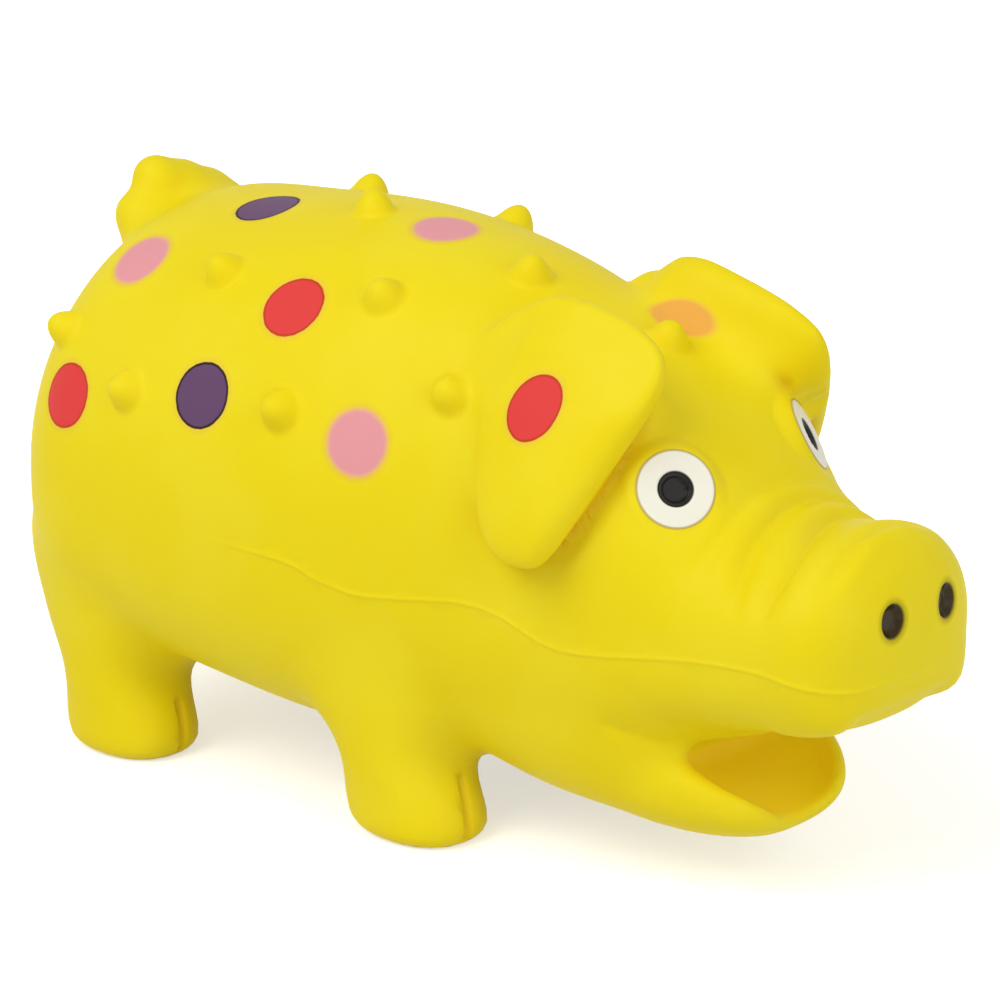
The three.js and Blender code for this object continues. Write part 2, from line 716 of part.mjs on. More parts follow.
// Grunter barrel: flange under the belly, a bead that snaps over the collar, a pierced floor and a ledge
const boreRadius = barrelRadius - barrelWall;
const floorTop = flangeTop - flangeThickness + floorThickness;
const ledgeTop = floorTop + ledgeHeight;
const beadZ = collarTop + fit;
const flangeLow = flangeTop - flangeThickness;
const crestTop = beadZ + beadLead + beadCrest;
const ledgeLow = ledgeTop - ledgeThickness;
const barrelProfile = [[0, flangeLow], [flangeDiameter / 2 - flangeChamfer, flangeLow],
  [flangeDiameter / 2, flangeLow + flangeChamfer], [flangeDiameter / 2, flangeTop],
  [barrelRadius, flangeTop], [barrelRadius, beadZ], [beadRadius, beadZ + beadLead],
  [beadRadius, crestTop], [barrelRadius, crestTop + beadSlope], [barrelRadius, barrelTop - rimChamfer],
  [barrelRadius - rimChamfer, barrelTop], [boreRadius, barrelTop], [boreRadius, ledgeTop],
  [boreRadius - ledgeWidth, ledgeTop], [boreRadius - ledgeWidth, ledgeLow],
  [boreRadius, ledgeLow - ledgeWidth], [boreRadius, floorTop], [0, floorTop]];
const barrelGeometry = turned(barrelProfile, roundSides);
barrelGeometry.translate(portX, 0, 0);
let barrel = solid(barrelGeometry);
for (let i = 0; i < outletCount; i += 1) {
  const angle = 2 * Math.PI * i / outletCount;
  const ring = boreRadius * outletShare;
  barrel = barrel.subtract(rod(outletDiameter / 2, 0, floorTop + floorThickness,
    portX + ring * Math.cos(angle), ring * Math.sin(angle), 12));
}

// Reed block: a disc on the ledge, with the window that the reed swings through and two peg holes
const blockRadius = boreRadius - fit;
const blockLow = ledgeTop + fit;
const blockTop = blockLow + blockHeight;
const windowBack = portX - windowLength / 2 + windowAhead;
const windowFront = windowBack + windowLength;
const pegY = clampBreadth / 2 - pegDiameter;
const clampX = windowBack - fit - clampLength / 2;
let block = rod(blockRadius, blockLow, blockTop, portX, 0, roundSides);
block = block.subtract(box([windowBack, -windowBreadth / 2, 0], [windowFront, windowBreadth / 2, far]));
for (const side of [1, -1]) {
  block = block.subtract(rod(pegDiameter / 2 + fit, blockTop - pegDepth, far, clampX, side * pegY, 10));
}

// Reed: a thin tongue over the window, its root under the clamp
const reedLow = blockTop + fit;
const reedTop = reedLow + reedThickness;
const reedTip = windowFront - reedShort;
const reed = box([windowBack - reedRoot, -reedBreadth / 2, reedLow],
  [reedTip, reedBreadth / 2, reedTop]);

// Clamp: a bar across the reed's root with a peg on each side of it
const clampLow = reedTop + fit;
let clamp = box([clampX - clampLength / 2, -clampBreadth / 2, clampLow],
  [clampX + clampLength / 2, clampBreadth / 2, clampLow + clampThickness]);
for (const side of [1, -1]) {
  const pegFoot = blockTop - pegDepth + fit;
  const pegTop = clampLow + clampThickness / 2;
  clamp = clamp.add(rod(pegDiameter / 2, pegFoot, pegTop, clampX, side * pegY, 10));
}

// Cap: pushed into the top of the barrel, pierced for the air, with the filter held under it
const capRadius = boreRadius - fit;
const capBore = capRadius - capSkirtWall;
const capLow = barrelTop + fit;
const capFoot = capLow - capSkirt;
const capProfile = [[0, capLow], [capBore, capLow], [capBore, capFoot], [capRadius, capFoot],
  [capRadius, capLow], [barrelRadius, capLow], [barrelRadius, capTop - capChamfer],
  [barrelRadius - capChamfer, capTop], [0, capTop]];
const capGeometry = turned(capProfile, roundSides);
capGeometry.translate(portX, 0, 0);
let cap = solid(capGeometry);
const capHoles = [[0, 0]];
for (let i = 0; i < capHoleCount; i += 1) {
  const angle = 2 * Math.PI * i / capHoleCount;
  const outTo = capRadius * capHoleShare;
  capHoles.push([outTo * Math.cos(angle), outTo * Math.sin(angle)]);
}
for (const [x, y] of capHoles) {
  cap = cap.subtract(rod(capHole / 2, 0, far, portX + x, y, 10));
}
const filter = rod(capBore - fit, barrelTop - filterThickness, barrelTop, portX, 0, roundSides);

// Materials
const latex = new THREE.MeshStandardMaterial({ color: 0xecd623, roughness: 0.55, metalness: 0 });
const fibre = new THREE.MeshStandardMaterial({ color: 0xf2f0ea, roughness: 0.95, metalness: 0 });
const casePlastic = new THREE.MeshStandardMaterial({ color: 0xf3f1ec, roughness: 0.45, metalness: 0 });
const blockPlastic = new THREE.MeshStandardMaterial({ color: 0xd9d6cf, roughness: 0.5, metalness: 0 });
const reedPlastic = new THREE.MeshStandardMaterial({ color: 0xc8ced2, roughness: 0.3, metalness: 0 });
const felt = new THREE.MeshStandardMaterial({ color: 0xe6e4dc, roughness: 1, metalness: 0 });

const toy = new THREE.Group();
const fillingGroup = new THREE.Group();
const grunterGroup = new THREE.Group();

function place(group, name, manifold, material) {
  const mesh = new THREE.Mesh(geometryOf(manifold), material);
  mesh.name = name;
  group.add(mesh);
}

place(toy, 'latex_skin', skin, latex);
place(fillingGroup, 'body_filling', bodyFilling, fibre);
place(fillingGroup, 'head_filling', headFilling, fibre);
for (const [name, wad] of legFillings) {
  place(fillingGroup, name, wad, fibre);
}
place(grunterGroup, 'grunter_barrel', barrel, casePlastic);
place(grunterGroup, 'grunter_reed_block', block, blockPlastic);
place(grunterGroup, 'grunter_reed', reed, reedPlastic);
place(grunterGroup, 'grunter_reed_clamp', clamp, blockPlastic);
place(grunterGroup, 'grunter_filter', filter, felt);
place(grunterGroup, 'grunter_cap', cap, casePlastic);
toy.add(fillingGroup, grunterGroup);

export default toy;
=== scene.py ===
import json

import bpy
import numpy as np
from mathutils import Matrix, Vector

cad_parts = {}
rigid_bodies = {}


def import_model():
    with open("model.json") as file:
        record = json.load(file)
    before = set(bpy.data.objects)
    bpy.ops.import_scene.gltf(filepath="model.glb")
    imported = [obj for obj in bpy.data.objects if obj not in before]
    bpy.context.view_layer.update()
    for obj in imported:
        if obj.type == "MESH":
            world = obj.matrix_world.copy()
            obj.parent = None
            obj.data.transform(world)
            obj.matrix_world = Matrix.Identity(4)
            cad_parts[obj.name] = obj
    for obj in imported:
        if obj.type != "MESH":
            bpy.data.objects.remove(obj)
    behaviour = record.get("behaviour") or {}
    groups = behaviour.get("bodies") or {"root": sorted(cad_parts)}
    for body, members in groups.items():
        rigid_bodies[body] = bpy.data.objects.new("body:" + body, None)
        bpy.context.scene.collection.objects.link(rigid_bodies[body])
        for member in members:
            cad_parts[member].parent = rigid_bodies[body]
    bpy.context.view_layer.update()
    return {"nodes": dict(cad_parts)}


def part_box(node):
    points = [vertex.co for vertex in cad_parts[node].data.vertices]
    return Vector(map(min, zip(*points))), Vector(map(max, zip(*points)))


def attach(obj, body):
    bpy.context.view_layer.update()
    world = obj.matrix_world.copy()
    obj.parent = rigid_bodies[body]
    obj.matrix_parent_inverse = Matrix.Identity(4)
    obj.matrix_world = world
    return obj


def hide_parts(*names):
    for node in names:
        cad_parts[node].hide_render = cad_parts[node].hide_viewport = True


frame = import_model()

# A pig dog toy of moulded latex. Sizes are millimetres and degrees in the frame's directions: +X towards
# the snout, +Y the pig's left, +Z up. Meshes are written in metres.
metre = 0.001

# Viewpoint of the photograph: a long lens, in front of the pig's right side and a little above it
view = {
    "azimuth": 43.2,
    "elevation": 16.92,
    "distance": 822,
    "target": (1.134, 0, 65.27),
    "lens": 138.0,
    "sensor": 36.0,
}

# Lamps: degrees round from the camera, elevation, and metres of distance, size and height of the aim
lamps = [
    {"name": "key", "turn": -50, "elevation": 48, "distance": 1.1, "size": 0.7, "power": 5.5, "aim": 0.06},
    {"name": "fill", "turn": 40, "elevation": 25, "distance": 1.2, "size": 0.9, "power": 3.4, "aim": 0.06},
]

# Trunk, head and snout: each pair gives a share of the length from the rump, and millimetres
trunk = {
    "length": 227,
    "back": [(0, 107), (0.105, 119.8), (0.235, 123.7), (0.39, 125.3), (0.545, 121), (0.675, 110.2),
             (0.765, 99.3), (0.835, 85), (0.895, 79), (0.955, 81.2), (1, 79)],
    "belly": [(0, 26), (0.105, 22), (0.235, 19), (0.41, 14.5), (0.545, 18.5), (0.675, 18.5),
              (0.755, 24.5), (0.815, 34), (0.895, 38), (0.955, 41), (1, 43)],
    "widestLevel": [(0, 61), (0.235, 63.5), (0.41, 66), (0.585, 63), (0.72, 59), (0.83, 55), (1, 60)],
    "halfBreadth": [(0, 51.5), (0.105, 55), (0.235, 56), (0.41, 52), (0.545, 44.5), (0.675, 38),
                    (0.765, 34.5), (0.83, 31.5), (0.905, 28.5), (0.955, 27), (1, 24)],
    "rumpRounding": 36,
    "rumpPower": 2.33,
    "snoutRounding": 14,
    "snoutPower": 2.8,
    "snoutPowerUnder": 3.8,
    "powerAbove": [(0, 2.1), (0.56, 2.1), (0.66, 2.7), (0.73, 3), (0.795, 2.8), (0.84, 2.3), (1, 2.1)],
    "powerBelow": 2.75,
    "steepness": 25,
}

legs = {
    "pairs": [{"x": -76.5, "track": 74.5, "lean": 0.16}, {"x": 7, "track": 61, "lean": 0.28}],
    "halfLength": [(-8, 14), (6, 15.5), (18, 13), (32, 17), (50, 20), (62, 8)],
    "halfBreadth": [(-8, 13.5), (6, 12.5), (18, 13.4), (32, 14.8), (50, 13.6), (62, 6)],
    "flare": 0.028,
    "flareFrom": 15,
    "soleRounding": 4.6,
    "top": 62,
    "power": 2.3,
    "blend": 7,
}

chin = {
    "x": 49.4,
    "z": 25.2,
    "length": 84,
    "breadth": 54,
    "depth": 28.4,
    "pitch": 6.6,
    "power": 2.3,
    "blend": 8.7,
}

# The mouth is an egg that is cut out of the chin and out of what lies above it
mouth = {
    "x": 36,
    "z": 75.5,
    "length": 155,
    "breadth": 66,
    "depth": 31,
    "pitch": 48.5,
    "power": 2,
    "blend": 2.2,
    "from": 62,
    "below": 40,
}

# Ears, given for the left one; the right one hangs a little further forward and ends sooner at its top
ear = {
    "root": (46, 32.5, 93.2),
    "down": (-0.12, 0.47, -0.86),
    "out": (0.035, 0.95, 0.357),
    "length": 54.5,
    "breadthFront": 34,
    "breadthBack": 37,
    "thickness": 14,
    "taperFront": 0.62,
    "taperBack": 0.29,
    "bend": 0.0012,
    "rightTop": 1.13,
    "rightTurn": -0.2,
    "rightRaise": 2.0,
    "sharpBlend": 1.8,
    "softBlend": 13,
    "softFrom": (12, 44),
    "softFront": 0.16,
    "topSink": 2.4,
    "groove": 2.2,
    "grooveHalf": 1.8,
    "creaseShade": 1.3,
}

# The tail's coil as a chain of balls: x, y, z and radius
tail = {
    "balls": [(-99, 12.5, 112, 5.2), (-99, 7.6, 116.8, 5.4), (-99, 0.5, 119.8, 5.4),
              (-99.5, -6.5, 121.8, 5.3), (-100, -11.6, 114.6, 5), (-99, -7, 110.6, 6), (-99, 1, 113, 7)],
    "inner": 4,
    "blend": 8,
}

# Nubs: x, and degrees down from the top towards the pig's left
nub = {
    "height": 4.9,
    "radius": 3.9,
    "power": 1.85,
    "blend": 1.7,
    "places": [(-29.6, -6.3), (16.9, -7.6), (45.3, 3.2), (-48, -34.3), (-5.5, -30), (-59.9, -64.1),
               (-17.4, -61.5), (19.1, -43.1), (-86.4, -53), (-58.9, 20.8), (-17.2, 24.6), (-36, 46),
               (8, 44), (-59.9, 64.1), (-17.4, 61.5), (-86.4, 53), (25.6, 21.7)],
}

# Painted dots: x, degrees down from the top towards the pig's left, and the colour
dot = {
    "diameter": 14.3,
    "painted": [(-57, -11.6, "purple"), (-10.1, -4.6, "pink"), (-74.9, -34.1, "pink"), (-24.5, -39, "red"),
                (-78.8, -67.7, "red"), (-38.5, -62.4, "purple"), (1.7, -62.6, "pink"), (-58, 40, "red"),
                (-75.2, 47, "orange"), (-24.3, 39, "purple"), (-78.8, 74, "pink"), (-38.4, 62, "orange"),
                (1.8, 63, "red")],
    "ovals": [
        {"place": (44, -36.4, 101.5), "way": (0.03, -0.89, 0.46), "along": (0.1, 0.47, 0.86),
         "narrow": 0.88, "colour": "red"},
        {"place": (42.6, 10.6, 110.7), "way": (0.35, -0.59, 0.73), "along": (0.93, 0.3, -0.2),
         "narrow": 0.55, "colour": "orange"},
    ],
}

# The eye is a flat disc turned a little more forward than the cheek, with a stepped pupil
eye = {
    "right": (69, 34.8),
    "left": (67, 34.8),
    "way": (0.705, 0.52, 0.475),
    "diameter": 15.8,
    "raised": 0.3,
    "flatten": 3.4,
    "pupil": 7.2,
    "rimDepth": 0.55,
    "ledge": 5.2,
    "pupilDepth": 1.1,
}
nostril = {
    "spacing": 17.6,
    "shift": 1.3,
    "height": 65.5,
    "breadth": 6.2,
    "tall": 7,
    "tilt": 17,
    "depth": 1.8,
}

# The mould's parting line, as x and height, and the flash that stands up along it: full height is reached at
# one x, and past another x only the right side has it
parting = {
    "line": [(-40, 63.5), (-35.7, 62), (-13.6, 60.2), (-5.8, 57.5), (3.1, 55.6), (11.5, 56.1), (20, 57.2),
             (28.4, 58), (36.7, 56.9), (51.2, 52.2), (74, 54.7), (83.4, 55.7), (96.2, 56), (103.2, 54.9),
             (108, 53.8), (112, 53.1), (114, 54.2)],
    "full": -10,
    "bothTo": 60,
    "height": 0.3,
    "halfWidth": 0.45,
}

# Folds over the snout, each as points along it with how deep and wide it is; the last one is the ridge
# before the snout's plate
folds = [
    {"path": [(78.3, 25, 73.5), (78, 19, 79), (77.3, 12, 82.8), (76.9, 4.5, 84.2), (77.1, -5.4, 83.9),
              (78.4, -15.7, 80.6), (78.1, -24.9, 73.9), (78.3, -28.3, 68.1)], "depth": 0.95, "half": 2.3},
    {"path": [(86, 26, 68), (84, 22.5, 73.5), (82.5, 18, 77.5), (81.4, 12.1, 80.2), (81.5, 5, 81.5),
              (82, -2.4, 81.4), (83.6, -9.9, 79.7), (84.6, -15.4, 77.5), (85.9, -20.1, 74.5),
              (87, -23.6, 71.2), (88.1, -26.4, 67), (89, -27.9, 63.2)], "depth": 1.6, "half": 2.0},
    {"path": [(93, 25, 67), (91.5, 21, 72.5), (89, 16, 76), (87.8, 9.7, 78.4), (88.9, 2.6, 79.1),
              (91.2, -4.8, 78.7), (93.9, -12.5, 77.4), (95.2, -18.4, 74.7), (95.5, -22, 72),
              (95.1, -24.6, 68.8), (94.9, -26.4, 65.6), (95.1, -27.7, 61.6)], "depth": 1.45, "half": 1.9},
    {"path": [(104.3, 17, 76), (103.5, 12, 79), (102.5, 6, 80.6), (102.5, -1.2, 81), (102.6, -5.8, 80.6),
              (104, -10.8, 79.2), (104.8, -16.1, 76.3), (104.4, -20, 73.5), (104.4, -24, 68)],
     "depth": 1.1, "half": 1.8},
    {"path": [(106, 13, 77.6), (105, 8, 79.8), (104.4, 2, 80.7), (105.9, -6.6, 79.3), (106.8, -12.1, 77.2),
              (107.3, -15.9, 74.6), (107.5, -19.3, 71.2)], "depth": -0.25, "half": 1.8},
]

# Clefts, creases and soft dents: points along each on the pig's left side, mirrored on its right
dents = [
    {"path": [(22.3, 31.5, 2), (18, 28.5, 14)], "depth": 1.3, "half": 0.9},
    {"path": [(-62, 36.4, 2), (-64.6, 34.8, 12)], "depth": 1.3, "half": 0.9},
    {"path": [(65.8, 32, 46.4), (64.5, 28.5, 37)], "depth": 0.4, "half": 3.0},
    {"path": [(60, 30.5, 37), (64, 28, 35), (69, 24, 33.4), (73, 20, 33)], "depth": 0.6, "half": 1.8},
    {"path": [(99, 21, 43.6), (107.5, 19, 45)], "depth": -1.6, "half": 5.0},
    {"path": [(110.5, 0, 45), (110, 7, 45), (109, 12, 45)], "depth": 1.2, "half": 3.5},
]

# Latex wall, and the spacing of the nets laid over the outside and the hollow
skin = {"wall": 2.6, "rounding": 9, "net": 2.0, "cavityNet": 4.0}

# Edge lengths of the outside's triangles, where it is plain and where it has detail
fineness = {
    "plain": 2.9,
    "nub": 0.7,
    "eye": 1.0,
    "eyeRim": 0.5,
    "pupil": 0.35,
    "nostril": 0.6,
    "parting": 0.5,
    "fold": 0.8,
    "dent": 0.6,
    "ear": 1.3,
    "mouth": 1.1,
    "tail": 1.3,
}

# Port in the belly, and the wads of fibre in the hollow
port = {
    "x": -28,
    "diameter": 24,
    "collar": 5,
    "collarWall": 2,
    "seatRim": 1.5,
    "seat": 3.4,
    "seatStep": 0.2,
    "flange": 31,
    "fit": 0.3,
    "segments": 64,
}
filling = {"gap": 0.8, "head": 50, "legTop": 20, "overBarrel": 2.4, "net": 2.4, "lump": 0.9, "fill": 0.6}

# The crease yellow is painted shade: the darker colour laid into the grooves
# The hollow yellow is painted light and shade: the brighter, more orange colour inside the mouth
colours = {
    "yellow": "#f3dc0e", "paleYellow": "#f4df1c", "hollowShadeYellow": "#fcdc18", "creaseShadeYellow": "#d8a804",
    "red": "#e6423f", "redEdge": "#c8401c", "purple": "#67476b", "purpleEdge": "#2c1e16",
    "pink": "#eb9ea3", "orange": "#f0b04c", "halo": "#efc04a",
    "eyeWhite": "#f8f5e6", "eyeEdge": "#a8894a", "black": "#1d1b18", "nostril": "#3d2f0c",
}


# A written sRGB colour as the linear red, green, blue and alpha that shaders take
def linear(code):
    share = np.array([int(code[i:i + 2], 16) for i in (1, 3, 5)]) / 255
    value = np.where(share <= 0.04045, share / 12.92, ((share + 0.055) / 1.055) ** 2.4)
    return (*value, 1.0)


# A curve through (station, value) pairs, read at any station: the Catmull-Rom curve as a fine table
def curveThrough(points):
    knots = np.array(points, float)
    at = np.linspace(0, len(knots) - 1, 400)
    first = np.minimum(at.astype(int), len(knots) - 2)
    share = (at - first)[:, None]
    start, end = knots[first], knots[first + 1]
    leave = (end - knots[np.maximum(first - 1, 0)]) / 2
    arrive = (knots[np.minimum(first + 2, len(knots) - 1)] - start) / 2
    table = ((2 * start - 2 * end + leave + arrive) * share ** 3
             + (3 * end - 3 * start - 2 * leave - arrive) * share ** 2 + leave * share + start)
    return lambda station: np.interp(station, table[:, 0], table[:, 1])


# A colour of the dictionary, as shaders take it
def tint(name):
    return linear(colours[name])


def alongTrunk(points):
    return curveThrough([((share - 0.5) * trunk["length"], value) for share, value in points])


backAt = alongTrunk(trunk["back"])
bellyAt = alongTrunk(trunk["belly"])
levelAt = alongTrunk(trunk["widestLevel"])
breadthAt = alongTrunk(trunk["halfBreadth"])
powerAt = alongTrunk(trunk["powerAbove"])
legLengthAt = curveThrough(legs["halfLength"])
legBreadthAt = curveThrough(legs["halfBreadth"])
partingAt = curveThrough(parting["line"])
rumpX = -trunk["length"] / 2
snoutX = trunk["length"] / 2
seatZ = bellyAt(port["x"]) - port["seatStep"]
seatTop = seatZ + port["seat"]


# Rises smoothly from 0 at the low end to 1 at the high end
def rise(low, high, value):
    share = np.clip((value - low) / (high - low), 0, 1)
    return share * share * (3 - 2 * share)


# The smaller of two forms, with a rounded crease about as wide as the blend
def joined(a, b, blend):
    share = np.clip(0.5 + 0.5 * (b - a) / blend, 0, 1)
    return b + (a - b) * share - blend * share * (1 - share)


def cutBy(a, b, blend):
    return -joined(-a, b, blend)


# Each form is negative inside and grows outwards at about a millimetre a millimetre.
# The trunk: superellipse sections between back, belly and flanks, drawn in at both ends
def trunkForm(x, y, z):
    level, half = levelAt(x), breadthAt(x)
    above = z > level
    tall = np.where(above, backAt(x) - level, level - bellyAt(x))
    power = np.where(above, powerAt(x), trunk["powerBelow"])
    across = (np.abs(y / half) ** power + np.abs((z - level) / tall) ** power) ** (1 / power)
    behind = np.maximum(rumpX + trunk["rumpRounding"] - x, 0) / trunk["rumpRounding"]
    ahead = np.maximum(x - snoutX + trunk["snoutRounding"], 0) / trunk["snoutRounding"]
    under = rise(level - 2, level - 16, z)
    front = trunk["snoutPower"] + (trunk["snoutPowerUnder"] - trunk["snoutPower"]) * under
    end = np.where(behind > 0, trunk["rumpPower"], front)
    size = (across ** end + np.maximum(behind, ahead) ** end) ** (1 / end)
    return (size - 1) * np.minimum(np.minimum(half, tall), trunk["steepness"])


# A leg: superellipse sections along a line that leans back and draws in as it rises, over a rounded sole
def legForm(x, y, z, pair):
    rounding = legs["soleRounding"]
    under = np.clip(rounding - z, 0, rounding)
    sole = rounding - np.sqrt(rounding ** 2 - under ** 2)
    half, side = legLengthAt(z) - sole, legBreadthAt(z) - sole
    drawnIn = legs["flare"] * np.clip(z - legs["flareFrom"], 0, 60) ** 1.5
    across = np.abs(y) - pair["track"] / 2 + drawnIn
    ahead = x - pair["x"] + pair["lean"] * z
    power = legs["power"]
    size = (np.abs(ahead / half) ** power + np.abs(across / side) ** power) ** (1 / power)
    return np.maximum((size - 1) * np.minimum(half, side), z - legs["top"])


# An egg tipped nose down by its pitch
def eggForm(x, y, z, egg):
    turn = np.radians(egg["pitch"])
    u = np.cos(turn) * (x - egg["x"]) - np.sin(turn) * (z - egg["z"])
    v = np.sin(turn) * (x - egg["x"]) + np.cos(turn) * (z - egg["z"])
    halves = np.array([egg["length"], egg["breadth"], egg["depth"]]) / 2
    power = egg["power"]
    total = np.abs(u / halves[0]) ** power + np.abs(y / halves[1]) ** power + np.abs(v / halves[2]) ** power
    return (total ** (1 / power) - 1) * halves.min()


def bodyForm(x, y, z):
    both = np.minimum(*[legForm(x, y, z, pair) for pair in legs["pairs"]])
    return joined(trunkForm(x, y, z), both, legs["blend"])


def unit(vector):
    return np.array(vector, float) / np.linalg.norm(vector)


earDown = unit(ear["down"])
earOut = unit(np.array(ear["out"]) - earDown * np.dot(ear["out"], earDown))
earBack = np.cross(earOut, earDown)


# Distances down, back and out from the middle of the ear on the point's own side, with the right ear's turn,
# its raised middle and its shorter top
def earPlace(x, y, z):
    offset = (x - ear["root"][0], np.abs(y) - ear["root"][1], z - ear["root"][2])
    down, back, out = [sum(axis[n] * offset[n] for n in range(3)) for axis in (earDown, earBack, earOut)]
    right = y < 0
    turn = np.where(right, ear["rightTurn"], 0.0)
    turned = down * np.cos(turn) + back * np.sin(turn) + np.where(right, ear["rightRaise"], 0.0)
    back = back * np.cos(turn) - down * np.sin(turn)
    down = np.where(right & (turned < 0), turned * ear["rightTop"], turned)
    return down, back, out + ear["bend"] * down * np.abs(down)


# The ear: a soft slab, wide at the root and narrow at the tip
def earForm(down, back, out):
    breadth = np.where(back > 0, ear["breadthBack"], ear["breadthFront"])
    taper = np.where(back > 0, ear["taperBack"], ear["taperFront"])
    half = breadth / 2 * (1 - taper * np.clip(down / (ear["length"] / 2), -0.8, 1.2))
    face = np.abs(down / (ear["length"] / 2)) ** 3 + np.abs(back / half) ** 3
    size = (face ** (2.2 / 3) + np.abs(out / (ear["thickness"] / 2)) ** 2.2) ** (1 / 2.2)
    return (size - 1) * ear["thickness"] / 2


# The ear meets the head in a sharp crease at its back edge and tip and a softer one at its front edge, and
# melts into the head at its top
def earBlend(down, back, x):
    top = rise(0.1, -0.75, down / (ear["length"] / 2)) * rise(*ear["softFrom"], x)
    front = rise(0.2, -0.9, back / (ear["breadthFront"] / 2))
    soft = np.maximum(top, ear["softFront"] * front)
    return ear["sharpBlend"] + (ear["softBlend"] - ear["sharpBlend"]) * soft


# The tail: balls in a coil, joined
def tailForm(x, y, z):
    def ballForm(ball):
        return np.sqrt((x - ball[0]) ** 2 + (y - ball[1]) ** 2 + (z - ball[2]) ** 2) - ball[3]
    value = ballForm(tail["balls"][0])
    for ball in tail["balls"][1:]:
        value = joined(value, ballForm(ball), tail["inner"])
    return value


def slopeOf(form, points, step=0.1):
    sides = []
    for axis in np.eye(3) * step:
        sides.append((form(*(points + axis).T) - form(*(points - axis).T)) / (2 * step))
    return np.stack(sides, 1)


# The point of the trunk's surface so many degrees down from the top at x, and the way out from it
def onTrunk(stations):
    x, degrees = np.array(stations, float).T
    way = np.stack([0 * x, np.sin(np.radians(degrees)), np.cos(np.radians(degrees))], 1)
    centre = np.stack([x, 0 * x, levelAt(x)], 1)
    low, high = np.zeros(len(x)), np.full(len(x), 90.0)
    for _ in range(40):
        middle = (low + high) / 2
        inside = trunkForm(*(centre + way * middle[:, None]).T) < 0
        low, high = np.where(inside, middle, low), np.where(inside, high, middle)
    points = centre + way * low[:, None]
    slope = slopeOf(trunkForm, points)
    return points, slope / np.linalg.norm(slope, axis=1)[:, None]


nubPoints, nubWays = onTrunk(nub["places"])


# A nub: a dome between a cone and an ellipsoid, standing on the skin, which flares out into it
def withNubs(value, x, y, z):
    value = value + 0 * (x + y + z)
    x, y, z = [part + 0 * value for part in (x, y, z)]
    power = nub["power"]
    for point, way in zip(nubPoints, nubWays):
        near = (np.abs(x - point[0]) < 12) & (np.abs(y - point[1]) < 12) & (np.abs(z - point[2]) < 12)
        offset = np.stack([x[near], y[near], z[near]], -1) - point
        up = offset @ way
        across = np.linalg.norm(offset - up[:, None] * way, axis=-1) / nub["radius"]
        size = (across ** power + (np.maximum(up, 0) / nub["height"]) ** power) ** (1 / power)
        value[near] = joined(value[near], (size - 1) * nub["radius"], nub["blend"])
    return value


def pigForm(x, y, z):
    jaw = cutBy(eggForm(x, y, z, chin), eggForm(x, y, z, mouth), mouth["blend"])
    value = joined(bodyForm(x, y, z), jaw, chin["blend"])
    down, back, out = earPlace(x, y, z)
    value = joined(value, earForm(down, back, out), earBlend(down, back, x))
    value = joined(value, tailForm(x, y, z), tail["blend"])
    value = withNubs(value, x, y, z)
    return np.maximum(value, -z)


# The hollow keeps the latex wall's thickness inside the trunk and legs
def hollowForm(x, y, z):
    points = np.stack([part.ravel() for part in np.broadcast_arrays(x, y, z)], 1)
    body = bodyForm(*points.T) / np.maximum(np.linalg.norm(slopeOf(bodyForm, points), axis=1), 0.3)
    value = cutBy(body + skin["wall"], points[:, 2] - skin["wall"], skin["rounding"])
    return value.reshape(np.broadcast_shapes(x.shape, y.shape, z.shape))


# Fills cells that touch only at an edge or a corner, so that each point of the net has one sheet
def simplified(values):
    values = values.copy()
    shape = np.array(values.shape)
    justInside = -0.02

    def part(*offset):
        return tuple(slice(o, n - 1 + o) for o, n in zip(offset, shape))

    corners = [(i, j, k) for i in (0, 1) for j in (0, 1) for k in (0, 1)]
    for _ in range(30):
        changed = 0
        for a, b in ((0, 1), (0, 2), (1, 2)):
            both, one, two = np.zeros(3, int), np.zeros(3, int), np.zeros(3, int)
            both[[a, b]], one[a], two[b] = 1, 1, 1
            for ends, others in (((0 * both, both), (one, two)), ((one, two), (0 * both, both))):
                solid = (values[part(*ends[0])] < 0) & (values[part(*ends[1])] < 0)
                bad = solid & (values[part(*others[0])] >= 0) & (values[part(*others[1])] >= 0)
                first = values[part(*others[0])] <= values[part(*others[1])]
                values[part(*others[0])][bad & first] = justInside
                values[part(*others[1])][bad & ~first & (values[part(*others[1])] >= 0)] = justInside
                changed += bad.sum()
        inside = sum((values[part(*c)] < 0).astype(int) for c in corners)
        for c in corners[:4]:
            across, beside = tuple(1 - i for i in c), (1 - c[0], c[1], c[2])
            bad = (values[part(*c)] < 0) & (values[part(*across)] < 0) & (inside == 2)
            values[part(*beside)][bad] = justInside
            hole = (values[part(*c)] >= 0) & (values[part(*across)] >= 0) & (inside == 6)
            values[part(*c)][hole] = justInside
            changed += bad.sum() + hole.sum()
        if changed == 0:
            break
    return values


